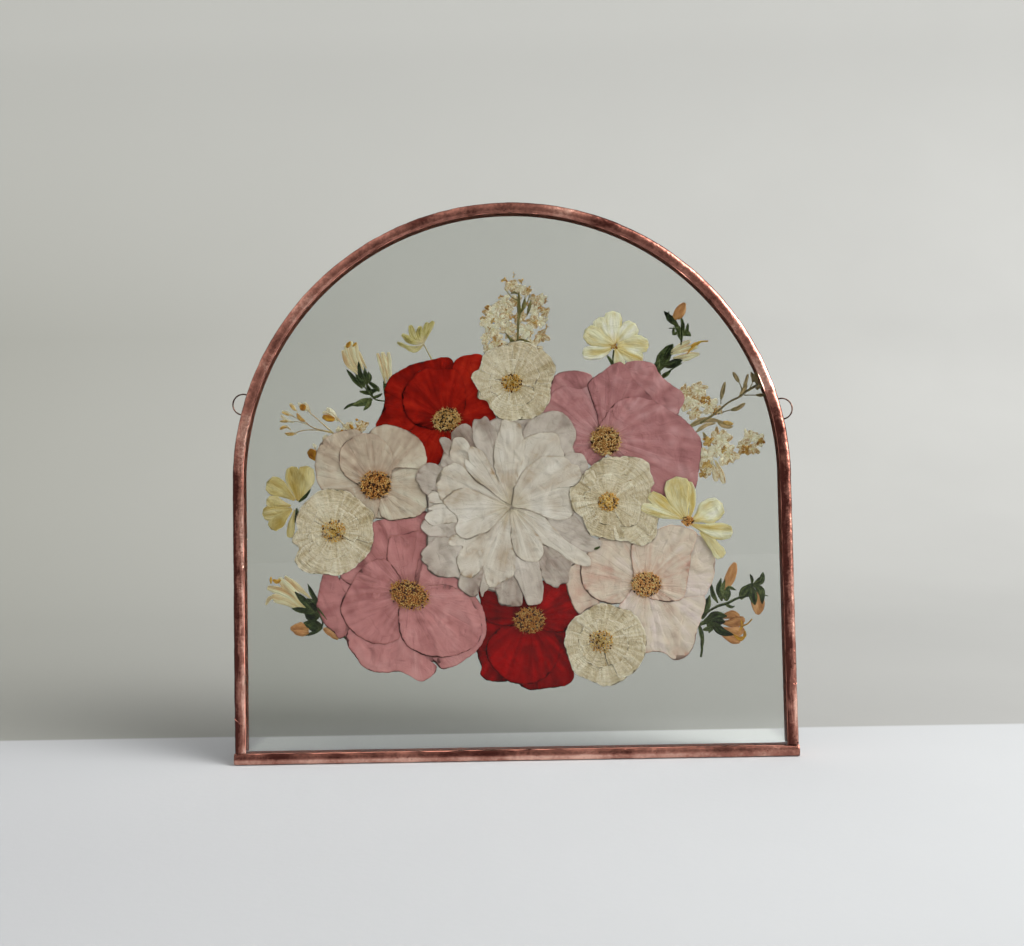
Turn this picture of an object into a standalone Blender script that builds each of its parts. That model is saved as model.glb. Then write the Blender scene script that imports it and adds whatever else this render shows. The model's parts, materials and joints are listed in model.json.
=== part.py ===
"""Pressed flower frame: an arch of two glass panes bound in copper, with dried flowers laid between them.

The frame stands upright. Its front looks along -Y, +Z is up, and the origin is the middle of the
bottom edge, half way through the depth. All sizes are in metres.

The flowers are laid one on another from the back pane forwards. Each piece rests on the highest
thing under it, so no two pieces share any room.
"""

from math import cos, pi, radians, sin

import bmesh
import bpy
import numpy as np

# Frame: a half circle standing on two straight legs as long as its radius.
FRAME_WIDTH = 0.305
ARCH_RADIUS = FRAME_WIDTH / 2
LEG_HEIGHT = 0.1525
ARCH_STEPS = 36

# Glass and the room between the two panes.
PANE_THICKNESS = 0.002
FLOWER_ROOM = 0.0032
GLASS_HALF_DEPTH = FLOWER_ROOM / 2 + PANE_THICKNESS

# Copper border: a channel of foil and solder, round outside, that grips both panes.
BORDER_WIDTH = 0.0063
BORDER_WALL = 0.0013
BORDER_BULGE = 0.0009
OUTER_FLAT_INSET = 0.0009
LIP_EDGE = 0.0003
CLEARANCE = 0.0003
# The bead's cross-section from lip to edge: share of the width in, and share of the bulge.
BEAD_SECTION = [(0.72, 0.85), (0.42, 1.0), (0.12, 0.30)]

# Hanging rings: wire loops soldered by their two ends to the sides of the arch.
RING_RADIUS = 0.0057
RING_WIRE = 0.00045
RING_STAND_OFF = 0.0008
RING_HALF_TURN = radians(94)
LEFT_RING_HEIGHT = 0.196
RIGHT_RING_HEIGHT = 0.188
RING_STEPS = 18
WIRE_SIDES = 8

# Flower outlines are drawn in the units of a picture of the frame: x to the right, y down.
# These values lay the drawing on the glass, with the small turn and lean of the picture taken out.
DRAWING_MIDDLE = (511.2, 480.0)
MIDDLE_HEIGHT = 0.15187
DRAWING_UNIT = 0.0005478
DRAWING_TURN = radians(1.08)
DRAWING_LEAN = 0.0000355

# Thickness of the pressed pieces, and the air between one and the next.
PETAL = 0.00018
DISC = 0.00026
STAMENS = 0.0004
SPRIG = 0.0004
PIECE_GAP = 0.00007
CELL = 0.0003

# Pleated pieces: points round the outline, and rings drawn in from it, each as the share of
# the way out and the height of a valley between two pleats as a share of the thickness.
RIM_SHARE = 0.6
POLE_SHARE = 0.9
PETAL_POINTS = 20
PETAL_RINGS = [(0.62, 0.72)]
STAMEN_POINTS = 14
STAMEN_RINGS = [(0.7, 0.7), (0.35, 0.8)]
PEONY_RINGS = [(0.72, 0.65)]
ROSETTE_POINTS = 28
ROSETTE_RINGS = [(0.75, 0.6), (0.3, 0.8)]

# An edge between two faces is left sharp when they meet at more than this angle.
SHARP_METAL = radians(50)
SHARP_GLASS = radians(30)
SHARP_PETAL = radians(60)

COPPER_ROUGHNESS = 0.35
GLASS_ROUGHNESS = 0.03
PETAL_ROUGHNESS = 0.75
DRY_ROUGHNESS = 0.85

COPPER = (0.50, 0.24, 0.17)
GLASS = (0.86, 0.90, 0.86)
RED = (0.35, 0.020, 0.012)
DUSTY_PINK = (0.45, 0.17, 0.17)
BLUSH = (0.60, 0.46, 0.38)
PEONY_WHITE = (0.74, 0.72, 0.65)
CREAM = (0.70, 0.66, 0.48)
PALE_YELLOW = (0.70, 0.66, 0.36)
STAMEN_GOLD = (0.36, 0.20, 0.05)
LEAF_GREEN = (0.07, 0.10, 0.04)
DRY_WHITE = (0.66, 0.60, 0.45)


def clear_scene():
    for thing in list(bpy.data.objects):
        bpy.data.objects.remove(thing, do_unlink=True)


def dress(obj, colour, roughness, metallic=0.0, clear=0.0):
    """Gives the object its own material."""
    material = bpy.data.materials.new(obj.name)
    material.use_nodes = True
    shader = material.node_tree.nodes["Principled BSDF"]
    shader.inputs["Base Color"].default_value = (*colour, 1.0)
    shader.inputs["Roughness"].default_value = roughness
    shader.inputs["Metallic"].default_value = metallic
    shader.inputs["Transmission Weight"].default_value = clear
    obj.data.materials.append(material)


def add_solid(name, points, faces, smooth_under=None):
    """A mesh object from points and faces, with its faces turned outwards."""
    mesh = bpy.data.meshes.new(name)
    mesh.from_pydata([tuple(point) for point in points], [], faces)
    shape = bmesh.new()
    shape.from_mesh(mesh)
    bmesh.ops.recalc_face_normals(shape, faces=shape.faces)
    shape.to_mesh(mesh)
    shape.free()
    if smooth_under is not None:
        mesh.shade_smooth()
        mesh.set_sharp_from_angle(angle=smooth_under)
    obj = bpy.data.objects.new(name, mesh)
    bpy.context.scene.collection.objects.link(obj)
    return obj


def loft(name, sections, smooth_under):
    """Joins closed sections of equal count into one tube and fills both of its ends."""
    around = len(sections[0])
    points = np.concatenate(sections)
    faces = []
    for row in range(len(sections) - 1):
        for step in range(around):
            here = row * around + step
            beside = row * around + (step + 1) % around
            faces.append((here, beside, beside + around, here + around))
    faces.append(tuple(range(around)))
    last = (len(sections) - 1) * around
    faces.append(tuple(range(last, last + around)))
    return add_solid(name, points, faces, smooth_under)


# ---------------------------------------------------------------- glass


def arch_outline(inset, bottom):
    """The arch set in from the outer edge, as (x, z), from the lower right corner up and over."""
    radius = ARCH_RADIUS - inset
    angles = np.linspace(0, pi, ARCH_STEPS + 1)
    top = np.stack([radius * np.cos(angles), LEG_HEIGHT + radius * np.sin(angles)], axis=1)
    return np.concatenate([[(radius, bottom)], top, [(-radius, bottom)]])


def add_pane(name, front):
    edge = BORDER_WALL + CLEARANCE
    outline = arch_outline(edge, edge)
    faces_at = [front, front + PANE_THICKNESS]
    sections = [np.insert(outline, 1, y, axis=1) for y in faces_at]
    pane = loft(name, sections, SHARP_GLASS)
    dress(pane, GLASS, GLASS_ROUGHNESS, clear=1.0)


def add_glass():
    add_pane("front_pane", -GLASS_HALF_DEPTH)
    add_pane("back_pane", FLOWER_ROOM / 2)


# ---------------------------------------------------------------- copper border


def bead_profile():
    """Half of the bead's outside, as (distance in from the outer edge, depth), lip to outer edge."""
    skin = GLASS_HALF_DEPTH + CLEARANCE
    lip = (BORDER_WIDTH, skin + LIP_EDGE)
    bead = [(share * BORDER_WIDTH, skin + rise * BORDER_BULGE) for share, rise in BEAD_SECTION]
    return [lip, *bead, (0.0, skin - OUTER_FLAT_INSET)]


def channel_profile():
    """The whole closed channel: round outside, square inside where it grips the glass."""
    half = bead_profile()
    skin = GLASS_HALF_DEPTH + CLEARANCE
    front = [(inwards, -depth) for inwards, depth in half]
    back = [(inwards, depth) for inwards, depth in reversed(half)]
    inside = [(BORDER_WIDTH, skin), (BORDER_WALL, skin), (BORDER_WALL, -skin), (BORDER_WIDTH, -skin)]
    return np.array(front + back + inside)


def add_arch_border():
    """The channel carried up one leg, over the arch and down the other, ending on the bottom border."""
    profile = channel_profile()
    foot = BORDER_WIDTH + CLEARANCE
    angles = np.linspace(0, pi, ARCH_STEPS + 1)
    stations = [(foot, 0.0)]
    stations += [(LEG_HEIGHT, angle) for angle in angles]
    stations += [(foot, pi)]
    sections = []
    for height, angle in stations:
        reach = ARCH_RADIUS - profile[:, 0]
        x = reach * cos(angle)
        z = height + reach * sin(angle)
        sections.append(np.stack([x, profile[:, 1], z], axis=1))
    border = loft("arch_border", sections, SHARP_METAL)
    dress(border, COPPER, COPPER_ROUGHNESS, metallic=1.0)


def add_bottom_border():
    """A full-width bead, flat below, with a slot cut in it for both panes."""
    half = bead_profile()
    outside = [(inwards, -depth) for inwards, depth in half]
    outside += [(inwards, depth) for inwards, depth in reversed(half)]
    profile = np.array(outside)
    ends = [-ARCH_RADIUS, ARCH_RADIUS]
    sections = [np.stack([np.full(len(profile), x), profile[:, 1], profile[:, 0]], axis=1) for x in ends]
    border = loft("bottom_border", sections, SHARP_METAL)
    slot_half = ARCH_RADIUS - BORDER_WALL
    skin = GLASS_HALF_DEPTH + CLEARANCE
    corners = np.array([(-slot_half, -skin), (slot_half, -skin), (slot_half, skin), (-slot_half, skin)])
    levels = [BORDER_WALL, 2 * BORDER_WIDTH]
    slot = loft("slot_cutter", [np.insert(corners, 2, z, axis=1) for z in levels], SHARP_METAL)
    slot.hide_render = True
    slot.display_type = "WIRE"
    cut = border.modifiers.new("slot", "BOOLEAN")
    cut.operation = "DIFFERENCE"
    cut.object = slot
    dress(border, COPPER, COPPER_ROUGHNESS, metallic=1.0)


def add_ring(name, side, height):
    """A wire loop in the plane of the glass. Its two ends butt on the arch's outer edge."""
    lean = np.arcsin((height - LEG_HEIGHT) / ARCH_RADIUS)
    outward = np.array([side * cos(lean), 0.0, sin(lean)])
    along = np.array([-side * sin(lean), 0.0, cos(lean)])
    depthwise = np.array([0.0, 1.0, 0.0])
    middle = np.array([0.0, 0.0, LEG_HEIGHT]) + (ARCH_RADIUS + RING_STAND_OFF) * outward
    sections = []
    for turn in np.linspace(-RING_HALF_TURN, RING_HALF_TURN, RING_STEPS + 1):
        spoke = cos(turn) * outward + sin(turn) * along
        centre = middle + RING_RADIUS * spoke
        angles = np.arange(WIRE_SIDES) * 2 * pi / WIRE_SIDES
        wire = np.outer(np.cos(angles), spoke) + np.outer(np.sin(angles), depthwise)
        sections.append(centre + RING_WIRE * wire)
    ring = loft(name, sections, SHARP_METAL)
    dress(ring, COPPER, COPPER_ROUGHNESS, metallic=1.0)


# ---------------------------------------------------------------- pressed pieces


def on_glass(points):
    """Drawing points laid on the glass, as (x, z)."""
    points = np.asarray(points, float)
    right = points[:, 0] - DRAWING_MIDDLE[0]
    up = DRAWING_MIDDLE[1] - points[:, 1]
    across = right * cos(DRAWING_TURN) + up * sin(DRAWING_TURN)
    rise = up * cos(DRAWING_TURN) - right * sin(DRAWING_TURN)
    unit = DRAWING_UNIT * (1 + DRAWING_LEAN * rise)
    return np.stack([across * unit, MIDDLE_HEIGHT + rise * unit], axis=1)


def smooth_closed(points, count):
    """An even walk of count points along a closed Catmull-Rom curve through the given points."""
    points = np.asarray(points, float)
    before = np.roll(points, 1, axis=0)
    after = np.roll(points, -1, axis=0)
    beyond = np.roll(points, -2, axis=0)
    t = np.linspace(0, 1, 12, endpoint=False)[:, None, None]
    curve = points + 0.5 * t * (after - before)
    curve = curve + 0.5 * t**2 * (2 * before - 5 * points + 4 * after - beyond)
    curve = curve + 0.5 * t**3 * (3 * points - before - 3 * after + beyond)
    curve = curve.transpose(1, 0, 2).reshape(-1, 2)
    closed = np.concatenate([curve, curve[:1]])
    walked = np.concatenate([[0.0], np.cumsum(np.linalg.norm(np.diff(closed, axis=0), axis=1))])
    stops = np.linspace(0, walked[-1], count, endpoint=False)
    return np.stack([np.interp(stops, walked, closed[:, axis]) for axis in (0, 1)], axis=1)


class Stack:
    """How far forward the pieces laid so far reach, kept on a fine grid over the glass."""

    def __init__(self):
        self.x = np.arange(-ARCH_RADIUS, ARCH_RADIUS, CELL)
        self.z = np.arange(0.0, LEG_HEIGHT + ARCH_RADIUS, CELL)
        self.reach = np.full((len(self.x), len(self.z)), CLEARANCE)

    def covered(self, outline):
        """The cells in or beside an outline, by counting the edges that a line to the left crosses."""
        x, z = np.meshgrid(self.x, self.z, indexing="ij")
        inside = np.zeros(x.shape, bool)
        following = np.roll(outline, -1, axis=0)
        for (x0, z0), (x1, z1) in zip(outline, following):
            if z0 == z1:
                continue
            spans = (z0 > z) != (z1 > z)
            crossing = x0 + (z - z0) * (x1 - x0) / (z1 - z0)
            inside ^= spans & (x < crossing)
        on_edge = np.concatenate([outline + t * (following - outline) for t in np.linspace(0, 1, 41)])
        column = np.clip(((on_edge[:, 0] - self.x[0]) / CELL).round().astype(int), 1, len(self.x) - 2)
        row = np.clip(((on_edge[:, 1] - self.z[0]) / CELL).round().astype(int), 1, len(self.z) - 2)
        for right in (-1, 0, 1):
            for up in (-1, 0, 1):
                inside[column + right, row + up] = True
        return inside

    def lay(self, outline, thickness):
        """Rests a piece on what lies under it and returns its back, as a distance from the back pane."""
        cells = self.covered(outline)
        back = self.reach[cells].max() + PIECE_GAP
        self.reach[cells] = back + thickness
        return back


def add_pleated(stack, name, drawn, thickness, colour, roughness, count, rings):
    """A thin piece with a flat back, a low rim and a front that rises in radial pleats.

    Each ring is the outline drawn in towards its middle. Every other spoke is a crest.
    """
    outline = on_glass(smooth_closed(drawn, count))
    pole = outline.mean(axis=0)
    back = stack.lay(outline, thickness)
    to_y = FLOWER_ROOM / 2 - back
    crest = np.arange(count) % 2
    points = [np.insert(outline, 1, to_y, axis=1)]
    points.append(np.insert(outline, 1, to_y - RIM_SHARE * thickness, axis=1))
    for scale, valley in rings:
        drawn_in = pole + scale * (outline - pole)
        height = thickness * np.where(crest, 1.0, valley)
        points.append(np.stack([drawn_in[:, 0], to_y - height, drawn_in[:, 1]], axis=1))
    points.append(np.array([[pole[0], to_y - POLE_SHARE * thickness, pole[1]]]))
    faces = [tuple(range(count))]
    layers = len(rings) + 1
    for layer in range(layers):
        for step in range(count):
            here = layer * count + step
            beside = layer * count + (step + 1) % count
            faces.append((here, beside, beside + count, here + count))
    centre = (layers + 1) * count
    for step in range(count):
        faces.append((layers * count + step, layers * count + (step + 1) % count, centre))
    piece = add_solid(name, np.concatenate(points), faces, SHARP_PETAL)
    dress(piece, colour, roughness)


def add_flat(stack, name, drawn, thickness, colour):
    """A sprig or spray cut to its outline, flat on both sides, with every drawn corner kept."""
    outline = on_glass(drawn)
    back = stack.lay(outline, thickness)
    levels = [FLOWER_ROOM / 2 - back, FLOWER_ROOM / 2 - back - thickness]
    piece = loft(name, [np.insert(outline, 1, y, axis=1) for y in levels], SHARP_PETAL)
    dress(piece, colour, DRY_ROUGHNESS)


def oval(middle, across, up, degrees):
    """Drawing points round an oval, turned by an angle in degrees."""
    angles = np.arange(STAMEN_POINTS) * 2 * pi / STAMEN_POINTS
    turn = radians(degrees)
    along = np.outer(across * np.cos(angles), [cos(turn), sin(turn)])
    aside = np.outer(up * np.sin(angles), [-sin(turn), cos(turn)])
    return np.array(middle) + along + aside


# Sprigs, sprays and small flowers that lie furthest back. Names, thickness, colour and outline.
BACK_PIECES = [
    ("bud_sprig_upper_left", SPRIG, LEAF_GREEN, [
        (341, 352), (346, 344), (352, 341), (357, 343), (356, 349), (362, 357), (367, 365), (367, 372), (370, 376),
        (366, 382), (371, 385), (377, 386), (378, 390), (374, 396), (380, 399), (390, 400), (388, 394), (381, 387),
        (381, 381), (383, 378), (380, 370), (378, 362), (377, 355), (382, 352), (388, 353), (391, 362), (395, 374),
        (399, 380), (398, 392), (396, 404), (378, 402),
        (371, 399), (370, 404), (363, 409), (352, 405), (344, 410), (343, 406), (352, 402), (362, 398), (367, 396),
        (360, 392), (367, 391), (364, 385), (360, 386), (354, 382), (350, 374), (346, 369), (348, 366), (343, 360),
    ]),
    ("yellow_bud_upper_left", SPRIG, PALE_YELLOW, [
        (397, 342), (402, 341), (401, 335), (406, 333), (410, 331), (410, 325), (416, 329), (421, 326), (425, 328),
        (427, 322), (433, 321), (434, 328), (430, 333), (428, 340), (424, 342), (432, 358), (440, 372), (437, 374),
        (430, 360), (422, 344), (418, 350), (411, 348), (405, 345),
    ]),
    ("bud_sprig_upper_right", SPRIG, LEAF_GREEN, [
        (671, 311), (677, 305), (684, 303), (686, 308), (684, 314), (681, 318), (684, 322), (688, 324), (690, 330),
        (691, 336), (686, 337), (682, 340), (681, 343), (692, 339), (698, 342), (708, 341), (708, 343), (699, 345),
        (698, 350), (700, 354), (692, 357), (686, 359), (682, 364), (675, 368), (671, 370), (666, 378), (660, 377),
        (656, 371), (655, 364), (660, 356), (666, 347), (671, 344), (678, 344), (678, 337), (674, 332), (669, 328),
        (673, 326), (667, 322), (664, 315), (667, 311),
    ]),
    ("bud_sprig_lower_left", SPRIG, LEAF_GREEN, [
        (266, 587), (270, 584), (270, 577), (276, 580), (283, 575), (287, 580), (298, 587), (308, 593), (306, 587),
        (309, 584), (313, 591), (318, 601), (326, 606), (334, 618), (352, 634), (352, 644), (340, 642), (333, 638),
        (326, 636), (323, 630), (326, 628), (320, 622), (318, 630), (310, 634), (303, 637), (292, 634), (290, 626),
        (296, 622), (306, 623), (312, 620), (306, 616), (302, 612), (292, 611), (286, 606), (276, 600), (271, 598),
        (266, 605), (264, 603), (268, 597), (268, 592),
    ]),
    ("bud_sprig_lower_right", SPRIG, LEAF_GREEN, [
        (696, 604), (704, 600), (707, 595), (711, 596), (711, 584), (714, 592), (718, 600), (720, 596), (716, 590),
        (720, 579), (724, 578), (727, 571), (733, 564), (737, 567), (736, 577), (734, 585), (735, 590), (730, 597),
        (740, 595), (744, 588), (751, 583), (750, 577), (754, 575), (756, 580), (763, 573), (765, 580), (762, 588),
        (763, 595), (767, 603), (764, 610), (758, 614), (753, 609), (750, 598), (741, 598), (726, 604), (714, 610),
        (716, 614), (724, 615), (733, 614), (740, 619), (752, 619), (744, 627), (745, 636), (737, 640), (730, 641),
        (724, 636), (716, 630), (710, 632), (705, 629), (703, 640), (704, 652), (701, 657), (699, 652), (700, 640),
        (697, 626), (694, 616),
    ]),
    ("white_spray_left", SPRIG, DRY_WHITE, [
        (278, 418), (281, 411), (288, 408), (290, 403), (297, 407), (302, 402), (306, 406), (309, 413), (320, 423),
        (329, 431), (337, 427), (338, 422), (333, 417), (323, 419), (322, 412), (328, 408), (335, 414), (341, 422),
        (348, 420), (357, 417), (360, 422), (368, 423), (368, 430), (358, 436), (345, 440), (328, 444), (320, 448),
        (316, 459), (310, 459), (307, 453), (311, 449), (316, 448), (322, 440), (326, 434), (316, 431), (304, 427),
        (296, 425), (299, 431), (295, 437), (286, 436), (284, 432), (278, 430),
    ]),
    ("stock_spray_right", SPRIG, DRY_WHITE, [
        (679, 388), (688, 382), (700, 380), (707, 385), (711, 392), (720, 400), (722, 408), (737, 398), (742, 388),
        (744, 380), (748, 375), (750, 384), (758, 370), (764, 373), (760, 387), (766, 389), (766, 396), (758, 396),
        (748, 395), (744, 398), (734, 402), (744, 403), (745, 408), (734, 411), (722, 413), (724, 420), (732, 422),
        (736, 430), (748, 426), (757, 428), (766, 436), (765, 446), (758, 450), (750, 455), (742, 452), (738, 462),
        (732, 467), (722, 465), (720, 472), (724, 482), (714, 481), (702, 478), (692, 470), (688, 440), (676, 420),
        (674, 400),
    ]),
    ("white_larkspur_spike", SPRIG, DRY_WHITE, [
        (488, 366), (487, 352), (485, 345), (489, 338), (485, 330), (487, 325), (484, 320), (478, 317), (482, 309),
        (488, 304), (499, 299), (502, 290), (502, 279), (508, 276), (514, 271), (518, 280), (524, 279), (529, 282),
        (528, 288), (534, 290), (543, 288), (545, 298), (542, 307), (541, 318), (547, 325), (549, 335), (543, 342),
        (538, 347), (539, 356), (530, 370), (505, 374),
    ]),
    ("pale_flower_top", SPRIG, CREAM, [
        (580, 352), (586, 349), (588, 340), (585, 333), (588, 327), (597, 322), (604, 318), (611, 313), (618, 314),
        (623, 321), (631, 323), (637, 329), (635, 336), (644, 337), (648, 347), (647, 357), (640, 362), (630, 364),
        (624, 372), (612, 374), (607, 362), (602, 359), (592, 359), (586, 354),
    ]),
    ("yellow_flower_left", SPRIG, PALE_YELLOW, [
        (287, 469), (298, 467), (310, 470), (313, 477), (311, 486), (307, 493), (304, 503), (302, 516), (297, 526),
        (290, 537), (287, 535), (288, 524), (278, 530), (270, 529), (264, 520), (262, 511), (270, 508), (279, 506),
        (271, 498), (265, 494), (265, 486), (268, 480), (275, 480), (282, 485), (290, 496), (289, 484), (286, 476),
    ]),
]

# Six large poppies, back to front. Each has its petals, back to front, and a head of stamens on them.
POPPIES = [
    ("red_poppy_upper", RED, [
        ("left", [
            (376, 425), (384, 408), (384, 392), (390, 378), (400, 370), (412, 364), (428, 360), (444, 357), (455, 361),
            (449, 385), (441, 412), (424, 421), (410, 432), (400, 437), (385, 433),
        ]),
        ("right", [
            (453, 364), (462, 356), (482, 355), (485, 368), (480, 385), (487, 398), (492, 408), (497, 420), (490, 432),
            (474, 432), (459, 428), (450, 416), (452, 390),
        ]),
        ("lower", [
            (411, 431), (420, 422), (432, 420), (444, 423), (454, 431), (450, 442), (443, 456), (437, 466), (426, 465),
            (412, 450),
        ]),
        ("front", [
            (428, 368), (442, 370), (453, 368), (462, 378), (466, 392), (464, 405), (458, 414), (446, 420), (434, 425),
            (420, 425), (409, 418), (403, 405), (403, 391), (410, 381), (420, 371),
        ]),
    ], ((446, 420), 13, 11, 15)),
    ("red_poppy_lower", RED, [
        ("left_back", [
            (484, 617), (497, 624), (510, 630), (514, 655), (512, 678), (500, 682), (490, 681), (481, 677), (482, 667),
            (477, 652), (476, 632),
        ]),
        ("right_back", [
            (534, 626), (552, 629), (566, 631), (569, 650), (571, 665), (575, 675), (567, 685), (548, 688), (530, 690),
            (519, 684), (519, 668), (524, 645),
        ]),
        ("front", [
            (500, 629), (515, 624), (532, 622), (548, 627), (556, 636), (560, 650), (556, 664), (547, 676), (534, 683),
            (520, 684), (505, 679), (494, 668), (487, 655), (489, 641),
        ]),
        ("left_upper", [
            (479, 588), (490, 580), (508, 580), (520, 590), (528, 606), (524, 619), (512, 624), (498, 624), (485, 619),
            (482, 606),
        ]),
        ("right_upper", [
            (530, 617), (535, 600), (542, 582), (554, 573), (566, 575), (572, 590), (580, 604), (583, 614), (574, 620),
            (567, 630), (556, 631), (545, 628),
        ]),
    ], ((529.5, 620), 15.5, 13.5, 0)),
    ("pink_poppy_upper", DUSTY_PINK, [
        ("upper_left", [
            (551, 397), (552, 383), (556, 375), (566, 371), (580, 371), (592, 376), (596, 392), (594, 412), (578, 410),
            (562, 404),
        ]),
        ("upper_right", [
            (625, 364), (640, 361), (654, 364), (660, 375), (671, 384), (681, 391), (685, 399), (680, 408), (675, 420),
            (655, 420), (632, 418), (622, 395),
        ]),
        ("left", [
            (535, 419), (544, 408), (550, 397), (557, 389), (568, 386), (583, 390), (592, 387), (598, 402), (602, 425),
            (602, 445), (599, 467), (592, 467), (580, 453), (570, 452), (560, 440), (545, 428),
        ]),
        ("top", [
            (588, 385), (596, 376), (604, 371), (612, 364), (624, 363), (631, 376), (642, 388), (652, 401), (636, 410),
            (618, 424), (606, 434), (597, 412),
        ]),
        ("right", [
            (607, 421), (612, 407), (622, 399), (638, 397), (652, 400), (664, 408), (680, 416), (692, 428), (701, 440),
            (700, 458), (697, 480), (691, 496), (675, 500), (655, 496), (640, 482), (625, 465), (611, 450), (606, 436),
        ]),
    ], ((605.5, 441), 15.5, 15.5, 0)),
    ("pink_poppy_lower", DUSTY_PINK, [
        ("top", [
            (371, 524), (384, 519), (390, 516), (404, 518), (424, 521), (426, 540), (422, 560), (408, 580), (384, 580),
            (366, 582), (352, 586), (340, 574), (352, 562), (366, 550), (373, 537),
        ]),
        ("far_left", [
            (323, 574), (334, 572), (341, 586), (349, 600), (347, 620), (342, 640), (335, 634), (324, 623), (317, 608),
            (319, 590),
        ]),
        ("bottom", [
            (352, 624), (346, 641), (357, 658), (366, 669), (385, 673), (395, 671), (408, 675), (417, 682), (431, 677),
            (437, 668), (420, 652), (408, 632), (390, 616), (366, 614),
        ]),
        ("right_back", [
            (421, 588), (422, 570), (427, 556), (438, 568), (455, 576), (470, 588), (478, 600), (485, 615), (486, 630),
            (482, 645), (470, 656), (455, 666), (441, 668), (428, 650), (422, 620),
        ]),
        ("upright", [
            (390, 536), (404, 535), (413, 531), (425, 533), (436, 538), (426, 548), (419, 558), (415, 572), (413, 586),
            (408, 588), (398, 572), (387, 560), (388, 547),
        ]),
        ("left", [
            (386, 560), (372, 561), (358, 572), (348, 590), (341, 603), (344, 620), (356, 634), (372, 643), (388, 643),
            (399, 638), (401, 622), (402, 606), (403, 594), (396, 576),
        ]),
        ("right", [
            (410, 600), (424, 590), (440, 585), (456, 588), (470, 599), (480, 616), (482, 634), (474, 647), (455, 655),
            (436, 657), (418, 652), (404, 642), (400, 628), (402, 612),
        ]),
    ], ((409.5, 595), 21.5, 15, -24)),
    ("blush_poppy_lower", BLUSH, [
        ("far_left", [
            (572, 562), (584, 560), (594, 572), (602, 590), (600, 603), (588, 608), (580, 614), (573, 605), (568, 590),
            (567, 574),
        ]),
        ("right", [
            (672, 588), (676, 562), (684, 540), (697, 534), (706, 541), (714, 552), (715, 566), (712, 582), (705, 595),
            (698, 602), (684, 602),
        ]),
        ("left", [
            (582, 560), (590, 545), (606, 534), (622, 531), (634, 540), (636, 560), (641, 578), (634, 592), (624, 602),
            (608, 603), (593, 597), (584, 587), (581, 573),
        ]),
        ("lower", [
            (619, 608), (626, 600), (638, 592), (660, 594), (684, 597), (706, 597), (702, 614), (696, 634), (691, 651),
            (674, 660), (658, 648), (648, 656), (642, 645), (636, 625),
        ]),
        ("upper", [
            (642, 584), (636, 570), (631, 555), (634, 541), (648, 536), (656, 530), (670, 525), (684, 527), (697, 534),
            (692, 550), (688, 575), (682, 598), (666, 600), (652, 592),
        ]),
    ], ((646, 584), 15, 12.5, 0)),
    ("blush_poppy_upper", BLUSH, [
        ("lower_right", [
            (380, 490), (392, 474), (412, 466), (428, 470), (434, 488), (428, 504), (418, 516), (400, 519), (384, 519),
            (380, 510), (378, 500),
        ]),
        ("left", [
            (321, 489), (316, 476), (315, 460), (319, 446), (329, 435), (345, 430), (362, 431), (366, 450), (370, 480),
            (376, 500), (374, 519), (354, 510), (334, 500),
        ]),
        ("upper_right", [
            (369, 434), (378, 426), (392, 425), (408, 431), (421, 441), (426, 456), (424, 468), (408, 468), (394, 468),
            (382, 480), (376, 462), (372, 446),
        ]),
        ("inner", [
            (347, 476), (340, 465), (340, 450), (347, 441), (358, 435), (372, 433), (384, 441), (392, 454), (391, 468),
            (386, 482), (374, 490), (358, 482),
        ]),
    ], ((375.5, 485), 16, 14.5, 0)),
]

# The white peony: three tiers of petals, each grown together at the heart, back to front.
PEONY_TIERS = [
    ("outer", 56, [
        (503, 424), (520, 424), (531, 419), (544, 412), (560, 412), (572, 423), (576, 437), (571, 452), (586, 458),
        (591, 474), (586, 492), (577, 508), (585, 520), (598, 537), (605, 549), (600, 558), (584, 567), (572, 566),
        (567, 583), (558, 587), (546, 582), (541, 601), (528, 603), (520, 599), (510, 606), (499, 600), (494, 588),
        (484, 593), (475, 597), (461, 588), (458, 578), (442, 577), (429, 569), (422, 556), (432, 543), (422, 530),
        (426, 513), (430, 501), (420, 487), (416, 478), (424, 465), (437, 464), (443, 452), (440, 439), (450, 441),
        (458, 431), (468, 426), (475, 421), (484, 417), (493, 425), (498, 434),
    ]),
    ("middle", 40, [
        (500, 436), (515, 432), (530, 437), (545, 433), (558, 437), (563, 452), (577, 462), (584, 477), (580, 496),
        (570, 514), (562, 524), (580, 545), (576, 556), (560, 548), (546, 548), (538, 560), (524, 560), (512, 572),
        (496, 584), (484, 568), (468, 572), (455, 562), (450, 545), (440, 530), (438, 514), (444, 504), (437, 492),
        (437, 478), (446, 467), (462, 460), (468, 450), (480, 452), (492, 448),
    ]),
    ("inner", 28, [
        (510, 458), (528, 466), (547, 468), (556, 486), (550, 505), (540, 526), (528, 545), (513, 536), (494, 541),
        (472, 541), (457, 533), (455, 520), (468, 508), (459, 492), (468, 479), (488, 478), (500, 468),
    ]),
]

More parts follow.
